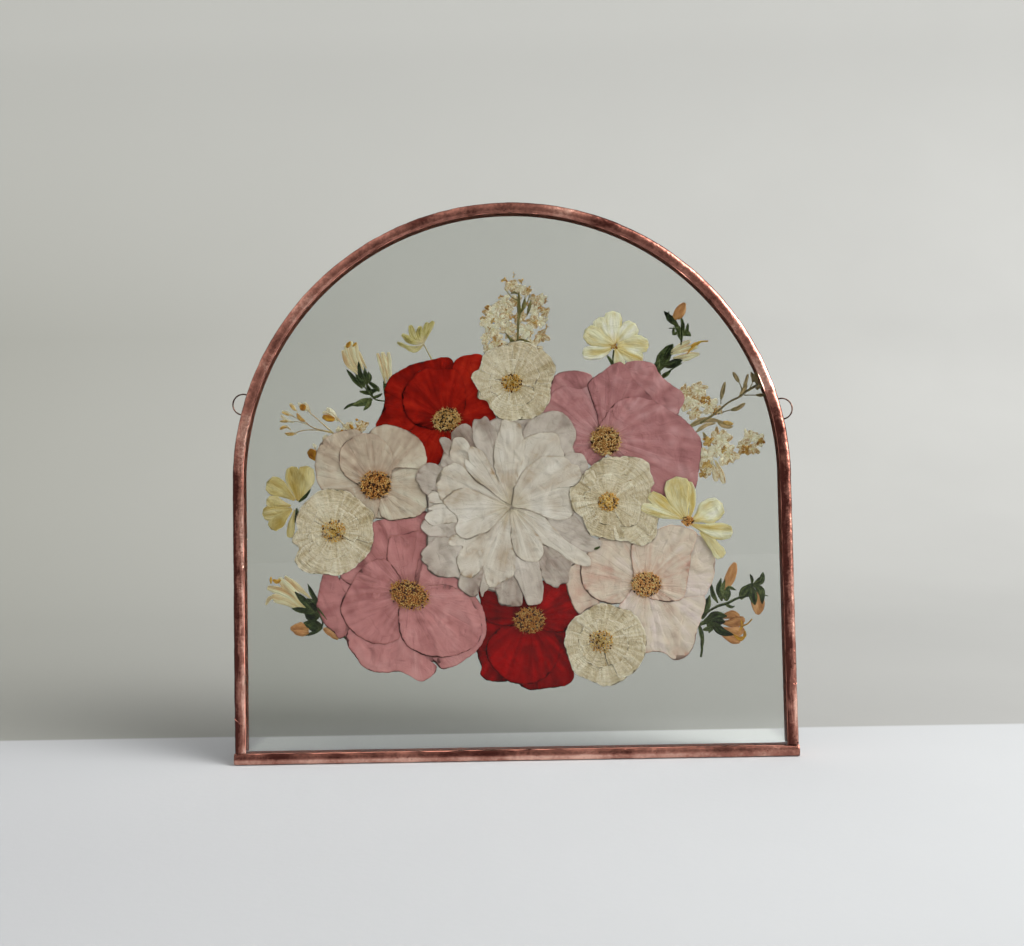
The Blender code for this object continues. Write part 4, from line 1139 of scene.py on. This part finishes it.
for flower, (oval, name, colours) in STAMEN_HEADS.items():
    STAMENS[flower] = stamen_material(name, colours)
    node = flower + "_stamens"
    skins = stamen_head(*oval, middle_level(node), oval[0][0])
    make_piece(node + "_head", skins, STAMENS[flower], "dried_stamens", node)

# ---------------------------------------------------------------- white peony
# One large double peony, pressed open. Its petals were laid back in tiers, the longest ones first,
# and a small cup of short petals is left at the heart. Cream, and greyer in the outermost tier.

PEONY_HEART = (511, 507)
PEONY_BACK = 0.00014
PEONY_TIER = 0.0001
PEONY_PETALS = [
    (0, 0.4, """
        416,479 417,473 421,467 427,463.5 434,463.5 439,466 447,470 452,480 450,494 440,492 432,490
        429,495.5 423,491 419,484"""),
    (0, 0.34, """
        451.5,438 452,431.5 458,426 465,423.5 471,427.5 475,435 480,455 478,470 466,464 455,454"""),
    (0, 0.46, """
        524,429 530,421 540,414.5 550,411 558,411.5 566,415 572,423 576,432 576,439 572,448 569,456
        556,466 540,468 530,460 523,445"""),
    (0, 0.48, """
        437,536.5 429.5,544 423,550 421,554 422.5,557 421.5,559.5 424,563 427,566 428.5,570 434,574.5
        442,577 450,577.5 458,575 466,564 464,548 452,538"""),
    (0, 0.38, """
        460,577 458.5,586.5 464,592 471,596.5 477,595.5 479,588 482,576 484,562 474,556 464,564"""),
    (0, 0.3, """
        480,590 482.5,597 484.5,591.5 488,588 492,576 486,566 482,578"""),
    (0, 0.36, """
        495,584 497,596 501,604.5 506,605 511,606 521,605 522.5,597 520,584 516,572 505,562 496,570"""),
    (0, 0.32, """
        539,562 541.5,572 543.5,580 551,585 557,587.5 561,584 568,582.5 569.5,572 571,562.5 562,554
        552,546 540,548"""),
    (0, 0.56, """
        545,514 556,518 566,518 574,515.5 584,526.5 591,536 601,541 600,547.5 590,552 578,549 564,540
        552,527"""),
    (1, 0.42, """
        474,419.5 480,419 485,416 488,418.5 491,424 495,429 497,438 496,456 494,474 484,466 476,448
        472,432"""),
    (1, 0.4, """
        564,456 568,452.5 577,453 582.5,454.5 586,459.5 588,467 585,476 578,486 566,484 560,468"""),
    (1, 0.46, """
        421,527 422.5,522 427,520 436,522 450,520 464,526 460,538 446,537.5 436,537 429.5,536
        423.5,531.5"""),
    (1, 0.52, """
        514,575 517,581 521,590 524.5,598 528,604.5 536,604.5 541.5,602 543.5,592 543,582 540,570
        538,560 526,552 514,558"""),
    (1, 0.34, """
        439,440 443,437 450,439.5 454,448 462,460 464,472 452,472 443,468 441,462 444,452"""),
    (2, 0.58, """
        428.5,497 430,494 434,492.5 439,493 448,497 460,502 456,506 442,503.5 434,503.5 429.5,501.5"""),
    (2, 0.6, """
        425,517.5 427,513.5 432,511 430,509 427,508.5 440,503.5 456,504 472,510 466,520 452,523 444,524
        434,526 428,522.5"""),
    (2, 0.48, """
        453.5,440 457.5,437.5 463,438 467,441 470.5,447.5 473,460 480,474 492,488 480,484 466,472
        456,464 450,457 449.5,450.5"""),
    (2, 0.52, """
        523,441 530,436 540,433 552,432.5 558,436 561,446 564,458 556,474 534,492 516,500 514,480
        520,460"""),
    (2, 0.5, """
        510,510 511,530 512,545 516,560 514,574 506,580 500,583 495,587 490,587.5 486.5,583 484.5,575
        483,565 478,552 484,534 496,518"""),
    (2, 0.5, """
        513,509 525,510.5 541,515 554,528 566,540.5 580,549.5 590,558 589,566 579.5,565 569.5,561
        561,554 552,548 540,542 524,524"""),
    (3, 0.54, """
        449,543 451,537 458,534 470,530 488,524 504,514 498,532 488,552 482,567 474,577 466,577 461,574
        458,567 457,557 463,547 456,545.5 450,545.5"""),
    (3, 0.5, """
        511,506 502,490 495,470 493.5,455 495,444 499,431 502,420.5 510,421 520.5,424.5 522,434 524,441
        524,458 518,478 514,496"""),
    (3, 0.52, """
        511,507 490,492 474,480 464,468 455,463 446,466.5 441,471 437,478 437,487 439,495 443,501
        455,505 480,508"""),
    (4, 0.54, """
        512,506 513,496 513,490 516.5,483.5 520,476 526.5,467.5 534,461.5 541,457.5 551,455.5 560,456.5
        568,459.5 571,464 577,465 580,469.5 582,475 577,485 571,486.5 569,492 570,498 572,509 574,514
        565,519.5 558,520.5 551,519.5 545,517 538,513.5 526,509"""),
    (4, 0.5, """
        510,510.5 510.5,526 511,535 513,546.5 517,555 522,559 527,561 538,561 542,556 543.5,549.5
        541,540 534,530.5 523,518 515,511"""),
    (5, 0.54, """
        510,507.5 494,500 478,492 466,488 456,490 448,495.5 443,500.5 446,506 451,511 456,515 458,521
        455.5,527 456.5,533.5 462,538 470,538.5 479,534 488,531.5 497,522 505,514"""),
    (5, 0.52, """
        510,505 498,497 488,489 475,479.5 468,471.5 465.5,466 465,459 469,461 468,452 471,446.5 477,448
        483,452 489,462 493,470 500,484 508,500"""),
]
PEONY = petal_material(
    "peony_petal", "174,145,113 217,208,195 239,234,227 214,199,167 221,205,183",
    vein=0.16, spots=0.3, pleats=7.0, crumple=150.0, crease_shade=0.03, lumpy=0.7, broad=4.2, painted_shadow_strength=0.42,
    sharp=0.12)
PEONY_OUTER = petal_material(
    "peony_outer_petal", "149,129,118 204,193,182 231,223,216 202,186,166 199,177,165",
    vein=0.16, spots=0.35, pleats=7.0, crumple=150.0, crease_shade=0.03, lumpy=0.7, broad=4.2, painted_shadow_strength=0.42,
    sharp=0.12)
PEONY_NODES = ["white_peony_outer_petals", "white_peony_middle_petals", "white_peony_inner_petals"]
back, front = box_levels(PEONY_NODES[0])[0], box_levels(PEONY_NODES[2])[1]
heart = on_glass(PEONY_HEART)
PEONY_BED = """
    482,426 500,416 524,417 560,420 574,450 588,480 582,512 592,545 572,566 545,576 520,594 482,588
    442,570 428,552 428,528 428,507 426,480 440,464 447,446 466,434"""
bed = petal_skin(outline_of(PEONY_BED, 80), heart, back, 0.6, rings=14,
                 pleat=0.00003, lump=0.00002, crimp=0.0)
tiers = [[bed], [], []]
for number, (layer, tone, outline) in enumerate(PEONY_PETALS):
    level = back - PEONY_BACK - PEONY_TIER * layer
    skin = petal_skin(outline_of(outline, 110), heart, level, 3.7 * number, rings=18,
                      pleat=0.00004, lump=0.00009, crimp=0.00008, dome=0.00002, fine=7.0, lip=0.65)
    skin["tone"] = tone
    tiers[layer // 2].append(skin)
for node, skins, material in zip(PEONY_NODES, tiers, (PEONY_OUTER, PEONY, PEONY)):
    make_piece(node + "_pressed", skins, material, "peony_petal", node)

speck = blade_skin("bud", 2.4, [(594, 549), (597, 548), (600, 546.5)], back - 0.0003, 2.0)
make_piece("white_peony_dark_speck", [speck], LEAF, "peony_petal", PEONY_NODES[0])

# ---------------------------------------------------------------- cream double flowers
# Four small double flowers, laid on last. Each has a ring of broad overlapping petals, finely
# wrinkled like tissue, round a hard little button with a few gold anthers.

CREAM = petal_material(
    "cream_petal", "179,158,119 220,208,180 247,243,226 200,179,131 247,244,231",
    vein=0.2, spots=0.14, pleats=3.0, crumple=430.0, crease_shade=0.1, lumpy=1.0, broad=3.0, painted_shadow_strength=0.9, core=3.0,
    arcs=1.4)
ROSETTES = {
    "cream_rosette_top": ((512, 383), 8, 0.2, """
        471,376 479,368 483,355 492,349 503,345 516,341 530,343 543,350 552,359 556,371 551,386 550,401
        543,412 533,418 514,421 500,419 491,410 487,401 478,398 477,388"""),
    "cream_rosette_right": ((608, 502), 7, 0.9, """
        570,488 577,484 583,473 592,466 602,458 616,456 635,457 648,463 651,474 655,482 650,492 660,506
        658,524 655,538 641,546 630,542 616,541 602,538 588,533 583,519 573,510 570,500"""),
    "cream_rosette_left": ((333.2, 531.6), 8, 0.5, """
        312,495 325,489 340,489 352,494 364,504 374,514 372,526 374,539 367,555 353,569 336,576 318,574
        302,571 293,560 299,549 291,541 296,530 295,520 301,506"""),
    "cream_rosette_bottom": ((600.9, 640.9), 8, 1.3, """
        597,604 608,603 620,608 632,611 641,623 646,636 645,654 635,671 620,682 603,686 587,679 574,672
        568,656 564,642 567,628 575,617 586,610"""),
}


def wedge(outline, heart, middle, half_spread, reach):
    """One broad petal of a round flower: its rim follows the flower's outline, its sides the heart."""
    drawn = even_walk(outline, 240) - heart
    bearing = np.unwrap(np.arctan2(drawn[:, 1], drawn[:, 0]))
    order = np.argsort(np.mod(bearing, 2 * pi))
    bearing, far = np.mod(bearing, 2 * pi)[order], np.hypot(drawn[:, 0], drawn[:, 1])[order]
    across = np.linspace(-1, 1, 15)
    angles = middle + half_spread * across
    rim = np.interp(np.mod(angles, 2 * pi), bearing, far, period=2 * pi) * reach * (1 - 0.16 * across**4)
    back = np.linspace(0.6, -0.6, 4)
    angles = np.concatenate([angles, middle + half_spread * back])
    radius = np.concatenate([rim, 0.10 * rim.mean() * np.ones(4)])
    return np.array(heart) + np.stack([radius * np.cos(angles), radius * np.sin(angles)], axis=1)


ANTHERS = stamen_material("rosette_anthers", "107,73,29 157,120,57 193,161,84 211,195,148")
ROSETTE_GOLD = stamen_material("rosette_gold", "90,48,12 172,112,22 208,150,40 234,206,130")
RIGHT_RAISED = 0.0002
INNER_PETALS = 4
for node, (drawn_heart, count, turn, text) in ROSETTES.items():
    outline = points_of(text)
    back, front = box_levels(node)
    if node == "cream_rosette_right":
        back, front = back - RIGHT_RAISED, front - RIGHT_RAISED
    heart = on_glass(drawn_heart)
    laid = [(number * 3 % count / count, 1.55, 1.0) for number in range(count)]
    laid += [((number + 0.5) / INNER_PETALS, 2.0, 0.62) for number in range(INNER_PETALS)]
    skins = []
    for number, (share, spread, reach) in enumerate(laid):
        petal = wedge(outline, drawn_heart, turn + 2 * pi * share, pi / count * spread, reach)
        level = back + (front - back) * (0.1 + 0.5 * number / count)
        seed = 17.0 * number + drawn_heart[0]
        skin = petal_skin(on_glass(even_walk(petal, 88)), heart, level, seed, rings=15,
                          pleat=0.00009, lump=0.00005, crimp=0.00009, dome=0.00004, fine=17.0, lip=0.25)
        skin["tone"] = 0.5 + 0.05 * sin(number * 2.1 + turn)
        skins.append(skin)
    make_piece(node + "_petals", skins, CREAM, "cream_petal", node)
    wide = 12.5 if node in ("cream_rosette_left", "cream_rosette_bottom") else 10.5
    head = stamen_head(drawn_heart, wide, wide * 0.9, 0, front - 0.00012, drawn_heart[0],
                       count=80, threads=40)
    button = stamen_head(drawn_heart, 5, 5, 0, front - 0.00016, drawn_heart[1], count=40, threads=12)
    make_piece(node + "_anthers", head[1:], ROSETTE_GOLD, "cream_petal", node)
    make_piece(node + "_heart", button, ANTHERS, "cream_petal", node)

# ---------------------------------------------------------------- yellow flower
# A five-petalled pale yellow flower, pressed open with its dark little heart and laid over the rim of
# its neighbours. Two petals lie folded, and the halves of a folded petal are drawn one by one.

node = "yellow_flower_right"
back, front = box_levels(node)
YELLOW_PETALS = """
    fan 13 699,532 711,543 721,556  fan 26 692,521 706,513 719,505  fan 16 690,524 710,530 730,532
    fan 12 689,518 691,505 687,483  fan 12 681,519 662,513 642,507  fan 14 682,519 666,507 650,495
    fan 27 686,520 679,500 676,480"""
skins = blade_group(blades_of(YELLOW_PETALS), back, front, 5.0)
make_piece(node + "_petals", skins, YELLOW, "yellow_petal", node)
head = stamen_head((687, 521), 6, 5, 0, front - 0.0001, 3.0, count=40, threads=16)
make_piece(node + "_heart", head, STAMENS["blush_poppy_upper"], "yellow_petal", node)

# ---------------------------------------------------------------- copper border
# Copper foil folded round the edges of both panes and flooded with solder, then given a copper
# patina and buffed. It is rounded outside, dented and wavy from the hand work, and darker in the pits.

BORDER_WIDTH = 0.0063
BORDER_WALL = 0.0013
GRIP = 0.0039
BORDER_FACE = 0.0048
ARCH_RADIUS = 0.1525
LEG_HEIGHT = 0.1525
SECTION_POINTS = 23
SHARP_STEP = 0.00002
DENT = 0.00034
LIP_START = 0.0048
LIP_WIDTH = 0.0015
LIP_WANDER = 0.00022
LIP_BACK = 0.0001
RAIL_TOP = 0.0066
RAIL_GAP = 0.0003
CHANNEL_END = 0.1512
END_STEP = 0.00001
LEG_MIDDLE = 0.14935

copper, tree, shader, place = new_material("copper_patina")
wash = noise(tree, place, 42.0, 4.0, roughness=0.55)
speck = noise(tree, place, 700.0, 3.0, roughness=0.6)
drips = noise(tree, place, 190.0, 2.0, distortion=0.5)
pits = add_node(tree, "TexVoronoi", {"Vector": place, "Scale": 260.0}).outputs["Distance"]
shade = swayed(tree, swayed(tree, wash, speck, 0.35), drips, 0.35)
spot = apart(tree, place)
height = spot["Z"]
# Painted shade and reflection on the rail: its upper half is painted darker and its lower half lighter,
# fading out towards the right end.
on_rail_share = climb(tree, RAIL_TOP, height, 3000.0)
rail_painted_shade = sums(tree, "MULTIPLY_ADD", climb(tree, 0.0036, height, 900.0), 0.36, -0.2)
rail_painted_shade = sums(tree, "MULTIPLY", rail_painted_shade, climb(tree, 0.15, spot["X"], 9.0))
shade = sums(tree, "MULTIPLY_ADD", rail_painted_shade, on_rail_share, shade)
# Painted shade: each leg is painted darker on its left and lighter on its right, as the window light from
# the right falls on its round face, with real lengthwise streaks of the patina mixed in.
across = sums(tree, "SUBTRACT", spot["X"], sums(tree, "MULTIPLY", sums(tree, "SIGN", spot["X"]), LEG_MIDDLE))
on_leg = climb(tree, 0.2, height, 18.0)
on_leg = sums(tree, "MULTIPLY", on_leg, sums(tree, "SUBTRACT", 1.0, on_rail_share))
streak = noise(tree, stretched(tree, place, (1.0, 1.0, 0.12)), 900.0, 2.0)
lean = swayed(tree, sums(tree, "MULTIPLY_ADD", across, 120.0, -0.14), streak, 0.7)
shade = sums(tree, "MULTIPLY_ADD", lean, on_leg, shade)
# The arch is darker towards its top.
shade = sums(tree, "MULTIPLY_ADD", climb(tree, height, 0.2, 9.0), -0.13, shade)
dark, middle, light = paints("82,44,38 166,112,98 234,188,170")
colour = graded(tree, shade, (0.2, dark), (0.5, middle), (0.82, light))
pit = sums(tree, "SUBTRACT", 1.0, sums(tree, "MULTIPLY", pits, 7.0, clamp=True))
colour = mixed(tree, sums(tree, "MULTIPLY", pit, 0.5), colour, paint(60, 28, 22))
inside = climb(tree, carried(tree, "tone"), 0.5, 2.0)
raw = mixed(tree, speck, paint(186, 104, 86), paint(232, 166, 146))
rise = sums(tree, "MULTIPLY_ADD", drips, 1.5, sums(tree, "MULTIPLY", pit, -0.5))
rise = sums(tree, "MULTIPLY_ADD", speck, 0.3, rise)
fill(tree, shader, {
    "Base Color": mixed(tree, inside, colour, raw),
    "Metallic": sums(tree, "MULTIPLY_ADD", inside, -0.8, 1.0),
    "Roughness": sums(tree, "MULTIPLY_ADD", speck, 0.18, 0.13),
    "Normal": bumps(tree, rise, 0.7, 0.0003),
})


def border_section(solid=False):
    """Ring of (distance in, depth): the round outside, then back along the channel, or straight if solid."""
    half = np.array([
        (BORDER_WIDTH, -GRIP - SHARP_STEP), (0.00622, -0.00413), (0.0056, -0.00432), (0.0047, -0.00458),
        (0.0038, -0.00474), (0.0029, -BORDER_FACE), (0.0020, -0.00472), (0.0012, -0.00450),
        (0.0005, -0.0041), (0.0001, -0.0033), (0.0, -0.0012),
    ])
    outside = np.concatenate([half, [(0.0, 0.0)], half[::-1] * [1, -1]])
    outside = even_walk(outside, SECTION_POINTS, closed=False)
    corners = [(BORDER_WIDTH, GRIP), (BORDER_WALL, GRIP), (BORDER_WALL, -GRIP), (BORDER_WIDTH, -GRIP)]
    if solid:
        corners = [(BORDER_WIDTH, GRIP), (BORDER_WIDTH, -GRIP)]
    corners = np.array(corners)
    return np.concatenate([outside, paced(corners, SECTION_POINTS)])


def swept_channel(sections, places):
    """A channel as one closed skin: its sections set on places(distance in, depth, station)."""
    stations, size = sections.shape[:2]
    points = places(sections[..., 0], sections[..., 1]).reshape(-1, 3)
    sides = around(0, size, stations - 1, size)
    half = np.arange(size // 2 - 1)
    cap = np.stack([half, half + 1, size - 2 - half, size - 1 - half], axis=1)
    far = cap[:, ::-1] + size * (stations - 1)
    quads = np.concatenate([sides, cap[:, ::-1], far[:, ::-1]])
    a, b, c, d = (points[quads[:, corner]] for corner in range(4))
    held = np.einsum("ij,ij->", a, np.cross(b, c)) + np.einsum("ij,ij->", a, np.cross(c, d))
    if held < 0:
        quads = quads[:, ::-1]
    inside = np.arange(size) >= SECTION_POINTS
    tone = np.tile(np.where(inside, 1.0, 0.5), stations)
    return {"points": points, "quads": quads, "tris": np.zeros((0, 3), int), "tone": tone}


def dented(sections, along, seed):
    """Hand-worked dents: the outside moves in by soft chance hollows, and the inner lip wanders."""
    turn = np.linspace(0, 2, sections.shape[1])[None, :]
    hollow = 0.5 + 0.5 * swell(along[:, None] * 170, turn * 2.5, seed)
    hollow = 0.65 * hollow + 0.35 * (0.5 + 0.5 * swell(along[:, None] * 520, turn * 5, seed + 1))
    outer = np.arange(sections.shape[1]) < SECTION_POINTS
    lip = np.clip((sections[..., 0] - LIP_START) / LIP_WIDTH, 0, 1) * outer
    wander = LIP_WANDER * swell(along * 130, along * 0, seed + 2)[:, None] - LIP_BACK
    worked = sections.copy()
    worked[..., 0] = sections[..., 0] + DENT * hollow * outer * (1 - lip) * 0.8 + wander * lip
    worked[..., 1] = sections[..., 1] * (1 - 0.06 * hollow * outer * (1 - 0.5 * lip))
    return worked


foot = BORDER_WIDTH + RAIL_GAP
leg = LEG_HEIGHT - foot
arc = pi * ARCH_RADIUS
along = np.linspace(0, 2 * leg + arc, 700)
bend = np.clip((along - leg) / ARCH_RADIUS, 0, pi)
height = foot + np.minimum(along, leg) - np.maximum(along - leg - arc, 0)


def on_arch(inwards, depth):
    """Points of the arch border: up the right leg, round the half circle and down the left leg."""
    reach = ARCH_RADIUS - inwards
    x = reach * np.cos(bend)[:, None]
    z = height[:, None] + reach * np.sin(bend)[:, None]
    return np.stack([x, depth, z], axis=-1)


sections = dented(np.repeat(border_section()[None], len(along), axis=0), along, 3.0)
make_piece("arch_border_worked", [swept_channel(sections, on_arch)], copper, "copper_patina", "arch_border")

ends = [-CHANNEL_END - END_STEP, CHANNEL_END + END_STEP]
rail = np.sort(np.concatenate([np.linspace(-ARCH_RADIUS, ARCH_RADIUS, 380), ends]))
full = np.abs(rail) > CHANNEL_END
sections = np.where(full[:, None, None], border_section(solid=True)[None], border_section()[None])
sections = dented(sections, rail + 1.0, 8.0)


def on_rail(inwards, depth):
    """Points of the bottom border: straight along, its distance in counted upwards."""
    return np.stack([rail[:, None] + 0 * depth, depth, inwards], axis=-1)


rail_skin = swept_channel(sections, on_rail)
make_piece("bottom_border_worked", [rail_skin], copper, "copper_patina", "bottom_border")

# ---------------------------------------------------------------- hanging rings
# A loop of dark tinned wire at each side, bent round a rod, with its two ends soldered to the outer
# edge of the arch.

RING_RADIUS = 0.0057
RING_WIRE = 0.00043
RING_STAND_OFF = 0.0008
RING_HALF_TURN = radians(94)

wire = copper.copy()
wire.name = "dark_wire"
ramp = next(node for node in wire.node_tree.nodes if node.type == "VALTORGB").color_ramp
for mark, colour in zip(ramp.elements, paints("40,30,26 78,58,50 130,100,86")):
    mark.color = colour


def ring_skin(side, height):
    """The wire loop: a small circle carried round an arc in the plane of the glass, its thickness wavering a
    little along it.
    """
    lean = np.arcsin((height - LEG_HEIGHT) / ARCH_RADIUS)
    outward = np.array([side * cos(lean), 0.0, sin(lean)])
    along = np.array([-side * sin(lean), 0.0, cos(lean)])
    middle = np.array([0.0, 0.0, LEG_HEIGHT]) + (ARCH_RADIUS + RING_STAND_OFF) * outward
    turn = np.linspace(-RING_HALF_TURN, RING_HALF_TURN, 60)[:, None]
    spoke = np.cos(turn) * outward + np.sin(turn) * along
    angle = np.linspace(0, 2 * pi, 12, endpoint=False)
    thick = RING_WIRE * (0.94 + 0.06 * np.cos(turn * 9))
    out = spoke[:, None] * (np.cos(angle)[None, :] * thick)[..., None]
    deep = np.array([0, 1.0, 0]) * (np.sin(angle)[None, :] * thick)[..., None]
    rings = middle + RING_RADIUS * spoke[:, None] + out + deep
    return closed_skin(rings, rings[0].mean(axis=0), rings[-1].mean(axis=0))


make_piece("hanging_ring_left_wire", [ring_skin(-1, 0.196)], wire, "copper_patina", "hanging_ring_left")
make_piece("hanging_ring_right_wire", [ring_skin(1, 0.188)], wire, "copper_patina", "hanging_ring_right")

# ---------------------------------------------------------------- solder marks
# Small flaws of the hand soldering that show on the legs: the cut end of a foil strip with a pinhole
# beside it low on the left leg, and two thin runs and a few pits on the right leg.

MARK_LEVEL = -0.00448
PIT_LEVEL = -0.0045
for name, text in (
    ("left_leg_foil_end", "stem 0.9 235.8,717.4 237.4,719.6 239.4,721 241.8,722.2"),
    ("right_leg_solder_runs", """stem 0.8 790.4,676 792.2,678 790,680.6 792.4,683 794.2,681.4
        stem 0.8 790.4,648 792.4,651 790.2,654 792,657"""),
):
    skins = [blade_skin(*blade, MARK_LEVEL, 2.0) for blade in blades_of(text)]
    for skin in skins:
        skin["tone"] = 0.6
    make_piece(name, skins, copper, "copper_patina")
for name, text in (
    ("left_leg_pinhole", "242.8,724.4"),
    ("right_leg_pits", "793.6,738 795.4,740.6 793.4,743.2 792.8,662"),
):
    pits = [(x, [(x, y - 0.8), (x + 0.2, y), (x, y + 0.8)]) for x, y in points_of(text)]
    skins = [blade_skin("bud", 1.5, path, PIT_LEVEL, seed) for seed, path in pits]
    make_piece(name, skins, wire, "copper_patina")

# ---------------------------------------------------------------- where one petal lies on another
# A painted shadow: a soft dark line, kept in the mesh value under, on what lies just below the rim of
# each pressed petal, strongest on its lower left side, away from the window light.

PAINTED_SHADOW_REACH = 0.0006
RIM_GAP = 0.00008

for thing in bpy.context.scene.objects:
    if thing.type != "MESH" or "fold" not in thing.data.attributes:
        continue
    count = len(thing.data.vertices)
    places = np.zeros(3 * count)
    thing.data.vertices.foreach_get("co", places)
    flat, depths = places.reshape(-1, 3)[:, [0, 2]], places.reshape(-1, 3)[:, 1]
    under = np.zeros(count)
    thing.data.attributes["under"].data.foreach_get("value", under)
    for level, rim in LAID:
        least, most = rim.min(axis=0), rim.max(axis=0)
        if level > depths.max() or (most < flat.min(axis=0)).any() or (least > flat.max(axis=0)).any():
            continue
        near = (flat > least - 3 * PAINTED_SHADOW_REACH).all(axis=1) & (flat < most + 3 * PAINTED_SHADOW_REACH).all(axis=1)
        near = np.flatnonzero(near & (depths > level + RIM_GAP))
        if len(near):
            gap = flat[near][:, None] - even_walk(rim, 2 * len(rim))[None]
            far = (gap**2).sum(axis=2)
            gap = gap[np.arange(len(near)), far.argmin(axis=1)]
            far = np.sqrt(far.min(axis=1)) + 1e-6
            # The painted shadow is weaker on the side of the rim that faces the light.
            painted_shadow_share = 0.34 + 0.2 * (gap @ SHADED_SIDE) / far
            under[near] = np.maximum(under[near], painted_shadow_share * np.exp(-far / PAINTED_SHADOW_REACH))
    thing.data.attributes["under"].data.foreach_set("value", under)
